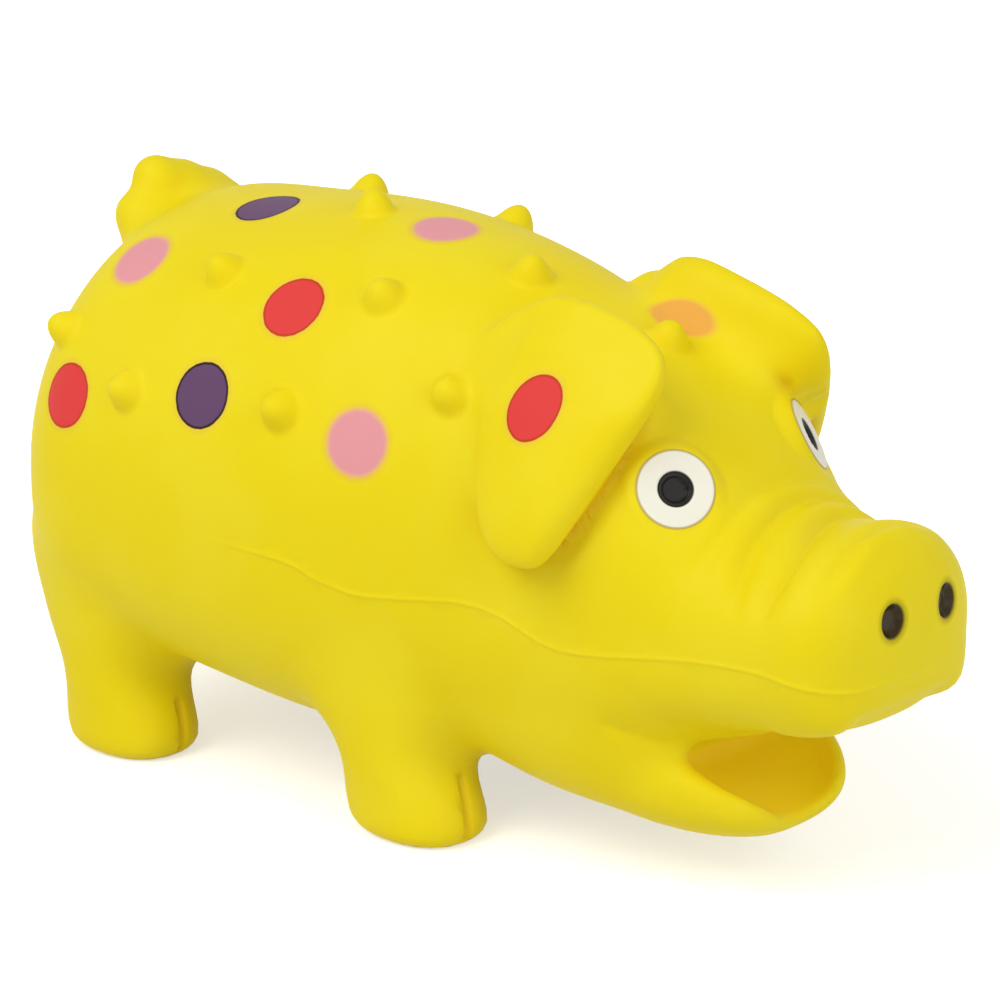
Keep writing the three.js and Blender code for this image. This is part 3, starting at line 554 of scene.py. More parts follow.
# A closed net over a form: one point in each grid cell that the surface crosses, at the mean of the
# crossings on the cell's edges, and a four-sided face round each grid edge that is crossed
def netOver(form, low, high, step):
    lines = [np.arange(a - step, b + 2 * step, step) for a, b in zip(low, high)]
    values = simplified(form(lines[0][:, None, None], lines[1][None, :, None], lines[2][None, None, :]))
    inside = values < 0
    corners = [(i, j, k) for i in (0, 1) for j in (0, 1) for k in (0, 1)]
    cells = tuple(n - 1 for n in values.shape)
    count = sum(inside[i:i + cells[0], j:j + cells[1], k:k + cells[2]].astype(int) for i, j, k in corners)
    active = (count > 0) & (count < 8)
    number = np.full(cells, -1)
    number[active] = np.arange(active.sum())
    cell = np.stack(np.nonzero(active), 1)
    total, hits = np.zeros((len(cell), 3)), np.zeros(len(cell))
    for a in corners:
        for b in corners:
            if sum(b) != sum(a) + 1 or sum(abs(p - q) for p, q in zip(a, b)) != 1:
                continue
            start, end = values[tuple((cell + a).T)], values[tuple((cell + b).T)]
            crossed = (start < 0) != (end < 0)
            share = np.where(crossed, start / np.where(crossed, start - end, 1), 0)
            spot = np.array(a) + share[:, None] * (np.array(b) - np.array(a))
            total += np.where(crossed[:, None], spot, 0)
            hits += crossed
    points = (cell + total / hits[:, None]) * step + [line[0] for line in lines]
    faces = []
    for axis in range(3):
        one, two = [d for d in range(3) if d != axis]
        near, far = [slice(None)] * 3, [slice(None)] * 3
        near[axis], far[axis] = slice(0, -1), slice(1, None)
        edge = np.stack(np.nonzero(inside[tuple(near)] != inside[tuple(far)]), 1)
        ring = []
        for back in ((0, 0), (1, 0), (1, 1), (0, 1)):
            at = edge.copy()
            at[:, one] -= back[0]
            at[:, two] -= back[1]
            ring.append(number[tuple(at.T)])
        ring = np.stack(ring, 1)
        outwards = inside[tuple(edge.T)] != (axis == 1)
        faces.append(np.where(outwards[:, None], ring, ring[:, ::-1]))
    faces = np.concatenate(faces)
    a, b, c, d = faces.T
    short = np.linalg.norm(points[a] - points[c], axis=1) <= np.linalg.norm(points[b] - points[d], axis=1)
    halves = np.where(short[:, None], np.stack([a, b, c, a, c, d], 1), np.stack([a, b, d, b, c, d], 1))
    return points, halves.reshape(-1, 3)


# Moves points along the slope onto the surface of a form
def settled(form, points, farthest, passes=3):
    for _ in range(passes):
        slope = slopeOf(form, points)
        step = slope * (form(*points.T) / np.maximum((slope ** 2).sum(1), 0.05))[:, None]
        length = np.linalg.norm(step, axis=1)[:, None]
        points = points - step * np.minimum(1, farthest / np.maximum(length, 1e-9))
    return points


# Halves every edge that is longer than is wanted there, so that each triangle becomes one to four
def refined(points, triangles, wanted):
    edges = np.sort(triangles[:, [0, 1, 1, 2, 2, 0]].reshape(-1, 2), axis=1)
    kinds, which = np.unique(edges, axis=0, return_inverse=True)
    which = which.reshape(-1, 3)
    middle = points[kinds].mean(1)
    split = np.linalg.norm(points[kinds[:, 0]] - points[kinds[:, 1]], axis=1) > wanted(middle)
    number = np.full(len(kinds), -1)
    number[split] = len(points) + np.arange(split.sum())
    marks = split[which]
    made = [triangles[~marks.any(1)]]
    for turn in range(3):
        order = [turn, (turn + 1) % 3, (turn + 2) % 3]
        one = marks[:, order[0]] & ~marks[:, order[1]] & ~marks[:, order[2]]
        a, b, c = triangles[one][:, order].T
        ab = number[which[one, order[0]]]
        made += [np.stack([a, ab, c], 1), np.stack([ab, b, c], 1)]
        two = marks[:, order[0]] & marks[:, order[1]] & ~marks[:, order[2]]
        a, b, c = triangles[two][:, order].T
        ab, bc = number[which[two, order[0]]], number[which[two, order[1]]]
        made += [np.stack([ab, b, bc], 1), np.stack([a, ab, bc], 1), np.stack([a, bc, c], 1)]
    full = marks.all(1)
    a, b, c = triangles[full].T
    ab, bc, ca = number[which[full]].T
    made += [np.stack(corners, 1) for corners in ((a, ab, ca), (ab, b, bc), (ca, bc, c), (ab, bc, ca))]
    return np.concatenate([points, middle[split]]), np.concatenate(made)


def toLeft(points):
    return points * [1, 0, 1] + np.abs(points) * [0, 1, 0]


# A path of measured points, drawn finely and laid on the smooth form
def laidPath(measured):
    knots = np.array(measured, float)
    station = np.arange(len(knots))
    fine = np.linspace(0, len(knots) - 1, 6 * (len(knots) - 1) + 1)
    columns = [curveThrough(np.stack([station, column], 1))(fine) for column in knots.T]
    return settled(pigForm, np.stack(columns, 1), 2.0, 5)


# Distance from each point to a path, and how far along the path its nearest place is, from 0 to 1
def awayFromPath(points, path, reach):
    away, share = np.full(len(points), 99.0), np.zeros(len(points))
    near = ((points > path.min(0) - reach) & (points < path.max(0) + reach)).all(1)
    spots = points[near]
    found, at = np.full(len(spots), 99.0), np.zeros(len(spots))
    for n, (start, end) in enumerate(zip(path[:-1], path[1:])):
        along = end - start
        part = np.clip((spots - start) @ along / (along @ along), 0, 1)
        distance = np.linalg.norm(spots - start - part[:, None] * along, axis=1)
        closer = distance < found
        found[closer], at[closer] = distance[closer], (n + part[closer]) / (len(path) - 1)
    away[near], share[near] = found, at
    return away, share


foldPaths = [laidPath(fold["path"]) for fold in folds]
dentPaths = [laidPath(dent["path"]) for dent in dents]
eyePoints = onTrunk([eye["right"], eye["left"]])[0]
eyeWay = unit(eye["way"])


# Distance from the line through the eye's middle, and height over the eye's plane
def eyePlace(points):
    offset = toLeft(points) - eyePoints[(points[:, 1] > 0).astype(int)]
    up = offset @ eyeWay
    return np.linalg.norm(offset - up[:, None] * eyeWay, axis=1) + 9 * (np.abs(up) > 6), up


# 0 in the middle of a nostril and 1 on its rim
def nostrilShare(points):
    middle = np.where(points[:, 1] > nostril["shift"], 1, -1) * nostril["spacing"] / 2 + nostril["shift"]
    across, up = points[:, 1] - middle, points[:, 2] - nostril["height"]
    tilt = np.radians(nostril["tilt"])
    u = (across * np.cos(tilt) - up * np.sin(tilt)) / (nostril["breadth"] / 2)
    v = (across * np.sin(tilt) + up * np.cos(tilt)) / (nostril["tall"] / 2)
    return np.where(points[:, 0] > snoutX - 12, np.hypot(u, v), 9)


# Height above or below the parting line, in the stretch that has it
def awayFromParting(points):
    away = points[:, 2] - partingAt(points[:, 0])
    ends = np.maximum(parting["line"][0][0] - points[:, 0], 0)
    return np.where((np.abs(points[:, 1]) > 20) | (points[:, 0] > snoutX - 16), np.hypot(away, ends), 99)


# The mouth's egg, which also runs on up through the head: taken only where the jaw is
def mouthPlace(points):
    beside = np.maximum(np.maximum(mouth["from"] - points[:, 0], points[:, 2] - mouth["below"]), 0)
    return eggForm(*points.T, mouth) + beside


# Edge length wanted at each point: short where the relief or the form has fine detail
def wantedEdge(points):
    wanted = np.full(len(points), fineness["plain"])

    def atMost(length, where):
        wanted[where] = np.minimum(wanted[where], length)

    for point in nubPoints:
        atMost(fineness["nub"], np.linalg.norm(points - point, axis=1) < 6.6)
    away = eyePlace(points)[0]
    atMost(fineness["eye"], away < 12)
    atMost(fineness["pupil"], np.abs(away - (eye["pupil"] + eye["ledge"]) / 4) < 1.0)
    atMost(fineness["eyeRim"], np.abs(away - eye["diameter"] / 2) < 0.8)
    atMost(fineness["nostril"], nostrilShare(points) < 1.6)
    atMost(fineness["parting"], np.abs(awayFromParting(points)) < 1.3)
    for fold, path in zip(folds, foldPaths):
        atMost(fineness["fold"], awayFromPath(points, path, 5)[0] < 1.6 * fold["half"])
    for dent, path in zip(dents, dentPaths):
        away = awayFromPath(toLeft(points), path, 3 * dent["half"])[0]
        atMost(max(dent["half"] * 0.6, fineness["dent"]), away < 2.2 * dent["half"])
    down, back, out = earPlace(*points.T)
    atMost(fineness["ear"], (np.abs(down) < 31) & (np.abs(back) < 27) & (out > -13) & (out < 9))
    atMost(fineness["mouth"], np.abs(mouthPlace(points)) < 2.5)
    atMost(fineness["tail"], tailForm(*points.T) < 3)
    return wanted


# 1 where the ear's front edge and tip meet the head, falling off on both sides with the difference of the
# two forms, and 0 round the eye
def earGroove(points):
    down, back, out = earPlace(*points.T)
    apart = earForm(down, back, out) - bodyForm(*points.T)
    place = np.maximum(rise(4, -4, back), rise(14, 22, down)) * rise(-18, -8, down)
    place *= rise(eye["diameter"] / 2, eye["diameter"] / 2 + 4, eyePlace(points)[0])
    return np.exp(-(apart / ear["grooveHalf"]) ** 2) * place


# 1 on the upper part of the ear's outer face, which lies flatter on the head than the rest
def earTop(points):
    down, back, out = earPlace(*points.T)
    return rise(0, 5, out) * rise(-2, -17, down) * rise(4, 1, earForm(down, back, out))


# Painted shade in the grooves: how much darker a groove is coloured, 0 away from it and about 1 in it
def creaseShadeShare(points):
    share = ear["creaseShade"] * earGroove(points)
    for dent, path in zip(dents, dentPaths):
        if dent["depth"] > 0.8 and dent["half"] < 2:
            away = awayFromPath(toLeft(points), path, 4 * dent["half"])[0] / dent["half"]
            share = np.maximum(share, np.exp(-0.6 * away ** 2))
    return share


# Height of the fine relief over the smooth form: folds are valleys with soft shoulders that run out at their
# ends, the parting flash is a thin ridge, clefts and dents are rounded grooves, nostrils are sunk
def reliefAt(points):
    height = np.zeros(len(points))
    for fold, path in zip(folds, foldPaths):
        away, share = awayFromPath(points, path, 4 * fold["half"])
        away = away / fold["half"]
        valley = np.exp(-1.2 * away ** 1.7) - 0.2 * np.exp(-((away - 2.2) / 0.9) ** 2)
        height -= fold["depth"] * valley * rise(0, 0.3, share) * rise(1, 0.7, share)
    away = awayFromParting(points) / parting["halfWidth"]
    shown = rise(parting["line"][0][0], parting["full"], points[:, 0])
    shown *= np.where(points[:, 0] < parting["bothTo"], 1, rise(4, -2, points[:, 1]))
    height += parting["height"] * np.exp(-away ** 2) * shown
    for dent, path in zip(dents, dentPaths):
        away = awayFromPath(toLeft(points), path, 3 * dent["half"])[0] / dent["half"]
        height -= dent["depth"] * np.exp(-away ** 2)
    height -= ear["groove"] * earGroove(points) + ear["topSink"] * earTop(points)
    height -= nostril["depth"] * rise(1.15, 0.55, nostrilShare(points))
    return height


# Draws the skin round each eye towards the eye's plane, with a raised disc and a stepped pupil on it
def withEyes(points):
    away, up = eyePlace(points)
    radius = eye["diameter"] / 2
    pupil, ledge = eye["pupil"] / 2, eye["ledge"] / 2
    step = eye["raised"] * rise(radius + 0.3, radius - 0.35, away)
    step -= eye["rimDepth"] * rise(pupil + 0.3, pupil - 0.25, away)
    step -= (eye["pupilDepth"] - eye["rimDepth"]) * rise(ledge + 0.25, ledge - 0.25, away)
    flat = rise(radius + eye["flatten"], radius - 0.2, away)
    side = np.stack([np.ones(len(points)), np.where(points[:, 1] < 0, -1, 1), np.ones(len(points))], 1)
    return points + side * eyeWay * (step - up * flat)[:, None]


def newPiece(name, points, faces):
    mesh = bpy.data.meshes.new(name)
    faces = faces if isinstance(faces, list) else faces.tolist()
    mesh.from_pydata((np.asarray(points) * metre).tolist(), [], faces)
    mesh.update()
    piece = bpy.data.objects.new(name, mesh)
    bpy.context.scene.collection.objects.link(piece)
    return piece


# A closed solid turned round a vertical line: radius and height pairs that close on themselves
def turnedPiece(name, profile, x, segments):
    angles = np.linspace(0, 2 * np.pi, segments, endpoint=False)
    ring = np.array(profile, float)
    points = np.stack([x + np.cos(angles)[:, None] * ring[:, 0], np.sin(angles)[:, None] * ring[:, 0],
                       np.tile(ring[:, 1], (segments, 1))], -1).reshape(-1, 3)
    around, along = np.meshgrid(np.arange(segments), np.arange(len(ring)), indexing="ij")
    nextAround, nextAlong = (around + 1) % segments, (along + 1) % len(ring)
    corners = [around * len(ring) + along, nextAround * len(ring) + along,
               nextAround * len(ring) + nextAlong, around * len(ring) + nextAlong]
    return newPiece(name, points, np.stack(corners, -1).reshape(-1, 4))


# A closed drum between two heights
def drumPiece(name, radius, low, high, x, segments):
    angles = np.linspace(0, 2 * np.pi, segments, endpoint=False)
    rim = np.stack([x + radius * np.cos(angles), radius * np.sin(angles)], 1)
    points = np.concatenate([np.c_[rim, np.full(segments, low)], np.c_[rim, np.full(segments, high)]])
    index = np.arange(segments)
    after = (index + 1) % segments
    sides = np.stack([index, after, after + segments, index + segments], 1).tolist()
    return newPiece(name, points, sides + [index[::-1].tolist(), (index + segments).tolist()])


# Joins and cuts a piece with tools, applies the result and removes the tools
def worked(piece, operations):
    for operation, tool in operations:
        modifier = piece.modifiers.new(operation, "BOOLEAN")
        modifier.operation = operation
        modifier.solver = "MANIFOLD"
        modifier.object = tool
    graph = bpy.context.evaluated_depsgraph_get()
    mesh = bpy.data.meshes.new_from_object(piece.evaluated_get(graph))
    piece.modifiers.clear()
    old, piece.data = piece.data, mesh
    bpy.data.meshes.remove(old)
    for _, tool in operations:
        bpy.data.objects.remove(tool)
    return piece


def coordinatesOf(mesh):
    flat = np.empty(len(mesh.vertices) * 3, np.float32)
    mesh.vertices.foreach_get("co", flat)
    return flat.reshape(-1, 3).astype(float) / metre


def writeValues(mesh, name, values):
    layer = mesh.attributes.new(name, "FLOAT", "POINT")
    layer.data.foreach_set("value", np.asarray(values, np.float32))


def writeColours(mesh, name, values):
    layer = mesh.attributes.new(name, "FLOAT_COLOR", "POINT")
    layer.data.foreach_set("color", np.asarray(values, np.float32).ravel())


# Puts the painted places on the outside of the skin: signed millimetres to the edge of the nearest dot, eye,
# pupil, nostril and mouth. A dot is round as seen along the way out at its middle, or an oval. The edge
# colour's alpha is 1 where a dot has a dark edge, and 0 where its edge is soft
def paintPlaces(mesh):
    points = coordinatesOf(mesh)
    facing = np.empty(len(points) * 3, np.float32)
    mesh.vertex_normals.foreach_get("vector", facing)
    facing = facing.reshape(-1, 3)
    centres, ways = onTrunk([(x, degrees) for x, degrees, _ in dot["painted"]])
    names = [colour for _, _, colour in dot["painted"]] + [oval["colour"] for oval in dot["ovals"]]
    centres = np.concatenate([centres, [oval["place"] for oval in dot["ovals"]]])
    ways = np.concatenate([ways, [unit(oval["way"]) for oval in dot["ovals"]]])
    away = np.full((len(names), len(points)), 50.0)
    for n, (centre, way) in enumerate(zip(centres, ways)):
        offset = points - centre
        up = offset @ way
        flat = offset - up[:, None] * way
        if n >= len(dot["painted"]):
            oval = dot["ovals"][n - len(dot["painted"])]
            side = unit(np.cross(way, oval["along"]))
            flat += (flat @ side)[:, None] * side * (1 / oval["narrow"] - 1)
        outside = (np.abs(up) < 12) & (facing @ way > 0.1)
        away[n] = np.where(outside, np.linalg.norm(flat, axis=1) - dot["diameter"] / 2, 50)
    nearest = away.argmin(0)
    writeValues(mesh, "dotAway", away.min(0))
    writeColours(mesh, "dotColour", np.array([tint(name) for name in names])[nearest])
    edges = np.array([linear(colours.get(name + "Edge", colours[name])) for name in names])
    edges[:, 3] = [name + "Edge" in colours for name in names]
    writeColours(mesh, "edgeColour", edges[nearest])
    mirrored = facing * np.stack([np.ones(len(points)), np.sign(points[:, 1]), np.ones(len(points))], 1)
    fromEye = np.where(mirrored @ eyeWay > -0.2, eyePlace(points)[0], 50)
    writeValues(mesh, "eyeAway", fromEye - eye["diameter"] / 2)
    writeValues(mesh, "pupilAway", fromEye - eye["pupil"] / 2)
    writeValues(mesh, "nostrilAway", (nostrilShare(points) - 1) * nostril["breadth"] / 2)
    inwards = slopeOf(lambda x, y, z: eggForm(x, y, z, mouth), points)
    inwards /= np.maximum(np.linalg.norm(inwards, axis=1), 1e-6)[:, None]
    writeValues(mesh, "mouthAway", mouthPlace(points) + 4 * rise(-0.7, 0.1, (inwards * facing).sum(1)))
    # Painted shade: how much darker each groove is coloured
    writeValues(mesh, "crease", creaseShadeShare(points))


# Outer skin: the net over the whole pig, refined where it has detail, with the relief along its slope
def outerSkin():
    low, high = (rumpX - 6, -62, -2), (snoutX + 4, 62, 136)
    points, triangles = netOver(pigForm, low, high, skin["net"])
    points = settled(pigForm, points, 0.8)
    for _ in range(3):
        points, triangles = refined(points, triangles, wantedEdge)
        points = settled(pigForm, points, 0.5, 2)
    slope = slopeOf(pigForm, points)
    slope /= np.linalg.norm(slope, axis=1)[:, None]
    points = withEyes(points + slope * (reliefAt(points) * rise(0.5, 2.5, points[:, 2]))[:, None])
    print("outer skin:", len(points), "points,", len(triangles), "triangles")
    return newPiece("latex_body", points, triangles)


# Latex skin: hollow, with a collared port in the belly that the grunter plugs into
def latexBody():
    piece = outerSkin()
    collarTop = seatTop + port["collar"]
    radius, seatRadius = port["diameter"] / 2, port["flange"] / 2 + port["seatRim"]
    reach = 2 * trunk["length"]
    hollow = newPiece("hollow", *hollowNet())
    outside = radius + port["collarWall"]
    collarProfile = [(radius - 1, seatZ), (seatRadius, seatZ), (seatRadius, seatTop - 1),
                     (seatRadius - 1, seatTop), (outside, seatTop), (outside, collarTop),
                     (radius - 1, collarTop)]
    collar = turnedPiece("collar", collarProfile, port["x"], port["segments"])
    bore = drumPiece("bore", radius, seatZ - reach, collarTop + 20, port["x"], port["segments"])
    recess = port["flange"] / 2 + port["fit"]
    seat = drumPiece("seat", recess, seatZ - 20, seatZ, port["x"], port["segments"])
    worked(piece, [("DIFFERENCE", hollow), ("UNION", collar), ("DIFFERENCE", bore), ("DIFFERENCE", seat)])
    mesh = piece.data
    mesh.polygons.foreach_set("use_smooth", np.ones(len(mesh.polygons), bool))
    mesh.set_sharp_from_angle(angle=np.radians(50))
    paintPlaces(mesh)
    mesh.materials.clear()
    mesh.materials.append(latexMaterial())
    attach(piece, "toy")
    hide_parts("latex_skin")
    print("latex body:", len(mesh.polygons), "faces")
    return piece


def hollowNet():
    low, high = (rumpX, -60, 0), (snoutX, 60, 128)
    points, triangles = netOver(hollowForm, low, high, skin["cavityNet"])
    return settled(hollowForm, points, 1.5), triangles


# Node trees are written with two helpers: a node with its settings and inputs, and a mix of two colours
def node(tree, kind, inputs=None, **settings):
    made = tree.nodes.new(kind)
    for name, value in settings.items():
        setattr(made, name, value)
    for socket, value in (inputs or {}).items():
        if isinstance(value, bpy.types.NodeSocket):
            tree.links.new(value, made.inputs[socket])
        else:
            made.inputs[socket].default_value = value
    return made


def mixed(tree, share, first, second):
    made = tree.nodes.new("ShaderNodeMix")
    made.data_type = "RGBA"
    for socket, value in ((0, share), (6, first), (7, second)):
        if isinstance(value, bpy.types.NodeSocket):
            tree.links.new(value, made.inputs[socket])
        else:
            made.inputs[socket].default_value = value
    return made.outputs[2]


# A value that runs smoothly from 1 at the first distance to 0 at the second
def fading(tree, value, full, none):
    sockets = {"Value": value, "From Min": full, "From Max": none, "To Min": 1.0, "To Max": 0.0}
    return node(tree, "ShaderNodeMapRange", sockets, interpolation_type="SMOOTHSTEP").outputs["Result"]


# A value stretched from the range 0 to 1 onto another
def ranged(tree, value, low, high):
    sockets = {"Value": value, "To Min": low, "To Max": high}
    return node(tree, "ShaderNodeMapRange", sockets).outputs["Result"]


def reckoned(tree, operation, *values):
    return node(tree, "ShaderNodeMath", dict(enumerate(values)), operation=operation).outputs[0]


def attribute(tree, name):
    return node(tree, "ShaderNodeAttribute", attribute_name=name)


def distance(tree, name):
    return attribute(tree, name).outputs["Fac"]


def noise(tree, place, scale, detail):
    sockets = {"Vector": place, "Scale": scale, "Detail": detail}
    return node(tree, "ShaderNodeTexNoise", sockets).outputs["Fac"]


def newMaterial(name, **sockets):
    material = bpy.data.materials.new(name)
    material.use_nodes = True
    tree = material.node_tree
    shader = tree.nodes["Principled BSDF"]
    for socket, value in sockets.items():
        shader.inputs[socket.replace("_", " ")].default_value = value
    place = tree.nodes.new("ShaderNodeTexCoord").outputs["Object"]
    return material, tree, shader, place


# A band of 1 between two distances, with soft edges
def band(tree, value, low, high, soft):
    inside = fading(tree, value, low, low - soft)
    return reckoned(tree, "MULTIPLY", inside, fading(tree, value, high, high + soft))


# Latex: satin yellow with a fine uneven skin, with painted shade that colours its creases darker. Dots have
# a thin dark edge or a soft one, and a pale halo; eyes, pupils and nostrils are painted too
def latexMaterial():
    material, tree, shader, place = newMaterial("latex", Specular_IOR_Level=0.15, Subsurface_Weight=0.12,
                                                Subsurface_Scale=0.004)
    shader.inputs["Subsurface Radius"].default_value = (1.0, 0.7, 0.15)
    broad = noise(tree, place, 38.0, 2.0)
    fine = noise(tree, place, 700.0, 3.0)
    wobble = noise(tree, place, 260.0, 2.0)
    colour = mixed(tree, fading(tree, broad, 0.62, 0.4), tint("yellow"), tint("paleYellow"))
    # Painted light and shade: the inside of the mouth is coloured a brighter, more orange yellow than the
    # rest of the skin, to look as its hollow is lit
    inMouth = fading(tree, distance(tree, "mouthAway"), -0.6, 1.2)
    colour = mixed(tree, inMouth, colour, tint("hollowShadeYellow"))
    # Painted shade: the grooves are coloured a darker yellow
    crease = reckoned(tree, "MULTIPLY", distance(tree, "crease"), 0.6)
    colour = mixed(tree, crease, colour, tint("creaseShadeYellow"))

    away = reckoned(tree, "MULTIPLY_ADD", wobble, 0.3, distance(tree, "dotAway"))
    away = reckoned(tree, "SUBTRACT", away, 0.15)
    halo = reckoned(tree, "MULTIPLY", fading(tree, away, 0.0, 1.8), 0.5)
    colour = mixed(tree, halo, colour, tint("halo"))
    edge = attribute(tree, "edgeColour")
    crisp, soft = fading(tree, away, -0.15, 0.15), fading(tree, away, -1.1, 0.6)
    share = node(tree, "ShaderNodeMix", {0: edge.outputs["Alpha"], 2: soft, 3: crisp}).outputs[0]
    colour = mixed(tree, share, colour, attribute(tree, "dotColour").outputs["Color"])
    rim = reckoned(tree, "MULTIPLY", band(tree, away, -0.35, 0.0, 0.2), edge.outputs["Alpha"])
    colour = mixed(tree, rim, colour, edge.outputs["Color"])

    eyeAway = distance(tree, "eyeAway")
    colour = mixed(tree, fading(tree, eyeAway, -0.15, 0.15), colour, tint("eyeWhite"))
    outline = reckoned(tree, "MULTIPLY", band(tree, eyeAway, -0.1, 0.15, 0.25), 0.6)
    colour = mixed(tree, outline, colour, tint("eyeEdge"))
    pupilAway = distance(tree, "pupilAway")
    colour = mixed(tree, fading(tree, pupilAway, -0.05, 0.25), colour, tint("black"))
    nostrilAway = distance(tree, "nostrilAway")
    shade = reckoned(tree, "MULTIPLY", fading(tree, nostrilAway, 0.2, 1.6), 0.35)
    colour = mixed(tree, shade, colour, tint("nostril"))
    colour = mixed(tree, fading(tree, nostrilAway, -0.2, 0.35), colour, tint("nostril"))
    tree.links.new(colour, shader.inputs["Base Color"])

    dark = fading(tree, reckoned(tree, "MINIMUM", pupilAway, nostrilAway), -0.2, 0.1)
    rough = reckoned(tree, "MULTIPLY_ADD", dark, -0.36, ranged(tree, fine, 0.46, 0.6))
    tree.links.new(rough, shader.inputs["Roughness"])
    height = reckoned(tree, "MULTIPLY_ADD", broad, 6.0, fine)
    bump = node(tree, "ShaderNodeBump", {"Strength": 0.25, "Distance": 0.0001, "Height": height})
    tree.links.new(bump.outputs["Normal"], shader.inputs["Normal"])
    return material


# Stuffing: white fibre, soft and matt, with fine crossing strands
def fibreMaterial():
    material, tree, shader, place = newMaterial("fibre", Roughness=0.95, Sheen_Weight=0.3)
    strands = node(tree, "ShaderNodeTexWave", {"Vector": place, "Scale": 420.0, "Distortion": 22.0,
                                               "Detail": 4.0, "Detail Scale": 1.6}).outputs["Fac"]
    colour = mixed(tree, strands, linear("#e2dfd6"), linear("#f6f4ee"))
    tree.links.new(colour, shader.inputs["Base Color"])
    bump = node(tree, "ShaderNodeBump", {"Strength": 0.7, "Distance": 0.0006, "Height": strands})
    tree.links.new(bump.outputs["Normal"], shader.inputs["Normal"])
    return material


# Moulded plastic: one colour a little mottled, with a fine spark-eroded texture
def plasticMaterial(name, light, dark, roughness, grain, depth):
    material, tree, shader, place = newMaterial(name, Specular_IOR_Level=0.5)
    fine = noise(tree, place, grain, 2.0)
    colour = mixed(tree, noise(tree, place, 90.0, 2.0), linear(dark), linear(light))
    tree.links.new(colour, shader.inputs["Base Color"])
    tree.links.new(ranged(tree, fine, roughness - 0.06, roughness + 0.06), shader.inputs["Roughness"])
    bump = node(tree, "ShaderNodeBump", {"Strength": 0.3, "Distance": depth, "Height": fine})
    tree.links.new(bump.outputs["Normal"], shader.inputs["Normal"])
    return material


def setMaterial(nodeName, material):
    mesh = frame["nodes"][nodeName].data
    mesh.materials.clear()
    mesh.materials.append(material)


def grunterLooks():
    case = plasticMaterial("case_plastic", "#f3f1ec", "#e9e6df", 0.45, 1400.0, 0.00004)
    block = plasticMaterial("block_plastic", "#d9d6cf", "#cdcac2", 0.5, 1200.0, 0.00004)
    tongue = plasticMaterial("reed_plastic", "#c8ced2", "#bcc3c8", 0.28, 2000.0, 0.00002)
    felt = plasticMaterial("felt", "#eceae2", "#d8d5cb", 0.94, 900.0, 0.0003)
    for name in ("grunter_barrel", "grunter_cap"):
        setMaterial(name, case)
    for name in ("grunter_reed_block", "grunter_reed_clamp"):
        setMaterial(name, block)
    setMaterial("grunter_reed", tongue)
    setMaterial("grunter_filter", felt)


# A box as a form, from its low to its high corner; a side left open is None
def boxForm(x, y, z, low, high):
    sides = [limit - value for value, limit in zip((x, y, z), low) if limit is not None]
    sides += [value - limit for value, limit in zip((x, y, z), high) if limit is not None]
    value = sides[0]
    for side in sides[1:]:
        value = np.maximum(value, side)
    return value


def legBoxForm(x, y, z, pair, side, grow):
    half = max(value for _, value in legs["halfLength"]) + grow
    inner = pair["track"] / 2 - max(value for _, value in legs["halfBreadth"]) - grow
    top = filling["legTop"] + grow
    return boxForm(x, side * y, z, (pair["x"] - half, inner, None), (pair["x"] + half, None, top))


# Keeps clear of the port's collar and the grunter in it
def portForm(x, y, z):
    away = np.hypot(x - port["x"], y)
    seat = np.maximum(away - port["flange"] / 2 - port["seatRim"] - port["fit"], z - seatTop - port["fit"])
    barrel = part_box("grunter_barrel")[1].z / metre + filling["overBarrel"]
    tall = np.maximum(away - port["diameter"] / 2 - port["collarWall"] - port["fit"], z - barrel)
    return np.minimum(seat, tall)


# Soft lumps, 0 to 1: the sum of three slow waves that cross
def lumps(x, y, z):
    waves = np.sin(x / 4.1 + 1.7 * np.sin(y / 6.3)) + np.sin(y / 3.7 + 1.5 * np.sin(z / 5.9))
    return (waves + np.sin(z / 4.4 + 1.6 * np.sin(x / 7.1)) + 3) / 6


# A wad of fibre: its share of the hollow less a small gap, drawn in a little between its lumps
def wad(name, shareForm, low, high):
    def wadForm(x, y, z):
        value = np.maximum(hollowForm(x, y, z) + filling["gap"], -portForm(x, y, z))
        return np.maximum(value, shareForm(x, y, z)) + filling["lump"] * lumps(x, y, z)
    points, triangles = netOver(wadForm, low, high, filling["net"])
    piece = newPiece(name, settled(wadForm, points, 1.0), triangles)
    piece.data.polygons.foreach_set("use_smooth", np.ones(len(triangles), bool))
    return piece


def fillings():
    fibre = fibreMaterial()
    half = port["fit"] / 2

    def bodyShare(x, y, z):
        value = x - filling["head"] + half
        for pair in legs["pairs"]:
            for side in (1, -1):
                value = np.maximum(value, -legBoxForm(x, y, z, pair, side, port["fit"]))
        return value

    made = [wad("fibre_body", bodyShare, (rumpX, -58, 0), (filling["head"], 58, 128)),
            wad("fibre_head", lambda x, y, z: filling["head"] + half - x, (filling["head"], -45, 20),
                (snoutX, 45, 118))]
    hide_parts("body_filling")
    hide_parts("head_filling")
    for end, pair in zip(("rear", "front"), legs["pairs"]):
        for sideName, side in (("left", 1), ("right", -1)):
            share = lambda x, y, z: legBoxForm(x, y, z, pair, side, 0)
            across = sorted((side * 10, side * 58))
            piece = wad(f"fibre_{end}_{sideName}_leg", share, (pair["x"] - 22, across[0], 0),
                        (pair["x"] + 22, across[1], filling["legTop"]))
            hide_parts(f"{end}_{sideName}_leg_filling")
            made.append(piece)
    for piece in made:
        piece.data.materials.append(fibre)
        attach(piece, "toy")
    print("fibre wads:", len(made))


# A level way from the middle of the toy towards a place at an azimuth, raised by an elevation
def wayTo(azimuth, elevation):
    a, e = np.radians(azimuth), np.radians(elevation)
    return Vector((np.sin(a) * np.cos(e), -np.cos(a) * np.cos(e), np.sin(e)))


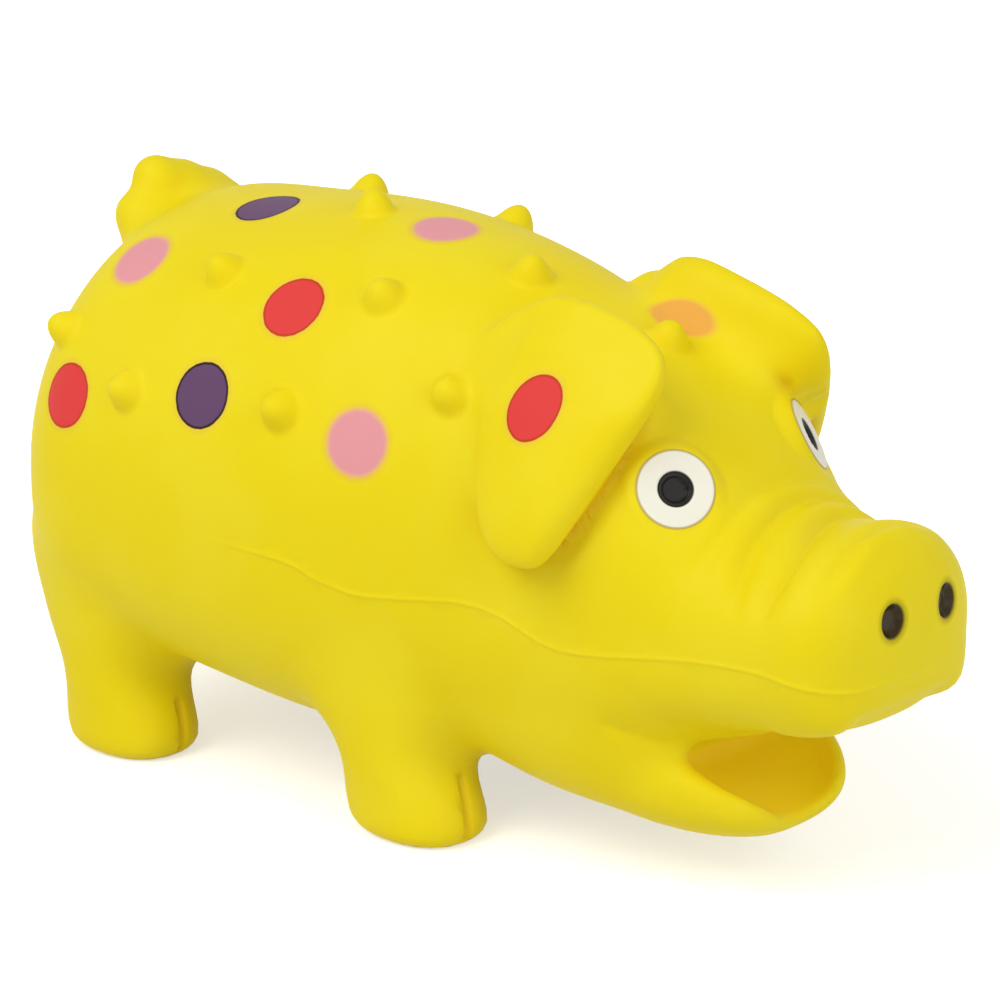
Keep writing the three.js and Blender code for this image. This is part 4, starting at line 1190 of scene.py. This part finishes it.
def photoCamera():
    towards = wayTo(view["azimuth"], view["elevation"])
    data = bpy.data.cameras.new("camera")
    data.sensor_width = view["sensor"]
    data.sensor_height = view["sensor"]
    data.lens = view["lens"]
    camera = bpy.data.objects.new("camera", data)
    bpy.context.scene.collection.objects.link(camera)
    camera.location = (Vector(view["target"]) + towards * view["distance"]) * metre
    camera.rotation_euler = (-towards).to_track_quat("-Z", "Y").to_euler()
    bpy.context.scene.camera = camera


# Sizes and distances are metres here
def areaLamp(lamp):
    data = bpy.data.lights.new(lamp["name"], "AREA")
    data.shape = "SQUARE"
    data.size = lamp["size"]
    data.energy = lamp["power"]
    holder = bpy.data.objects.new(lamp["name"], data)
    bpy.context.scene.collection.objects.link(holder)
    way = wayTo(view["azimuth"] + lamp["turn"], lamp["elevation"])
    holder.location = Vector((0, 0, lamp["aim"])) + way * lamp["distance"]
    holder.rotation_euler = (-way).to_track_quat("-Z", "Y").to_euler()


# What the camera and mirrors see of the studio, which is brighter than the light that it gives
def seenDirectly(tree):
    path = tree.nodes.new("ShaderNodeLightPath")
    return reckoned(tree, "MAXIMUM", path.outputs["Is Camera Ray"], path.outputs["Is Glossy Ray"])


# A white floor that reads as the white round it, and keeps the soft shadow of the feet
def stageFloor():
    material = bpy.data.materials.new("floor")
    material.use_nodes = True
    tree = material.node_tree
    shader = tree.nodes["Principled BSDF"]
    shader.inputs["Base Color"].default_value = (0.8, 0.8, 0.8, 1)
    shader.inputs["Roughness"].default_value = 0.9
    shader.inputs["Emission Color"].default_value = (1, 1, 1, 1)
    place = tree.nodes.new("ShaderNodeTexCoord").outputs["Object"]
    away = node(tree, "ShaderNodeVectorMath", {0: place}, operation="LENGTH").outputs["Value"]
    sockets = {"Value": away, "From Min": 0.1, "From Max": 0.35, "To Min": 0.55, "To Max": 1.0}
    white = node(tree, "ShaderNodeMapRange", sockets).outputs["Result"]
    glow = reckoned(tree, "MULTIPLY", seenDirectly(tree), white)
    tree.links.new(glow, shader.inputs["Emission Strength"])
    side = 3.0
    corners = [(-side, -side, 0), (side, -side, 0), (side, side, 0), (-side, side, 0)]
    mesh = bpy.data.meshes.new("floor")
    mesh.from_pydata(corners, [], [(0, 1, 2, 3)])
    floor = bpy.data.objects.new("floor", mesh)
    bpy.context.scene.collection.objects.link(floor)
    mesh.materials.append(material)


def studioLight():
    world = bpy.data.worlds.new("studio")
    world.use_nodes = True
    bpy.context.scene.world = world
    tree = world.node_tree
    background = tree.nodes["Background"]
    background.inputs["Color"].default_value = (1, 1, 1, 1)
    tree.links.new(ranged(tree, seenDirectly(tree), 0.45, 1.0), background.inputs["Strength"])
    for lamp in lamps:
        areaLamp(lamp)
    print("studio: floor, world and", len(lamps), "lamps")


photoCamera()
stageFloor()
studioLight()
latexBody()
fillings()
grunterLooks()
bpy.context.scene.view_settings.view_transform = "Standard"
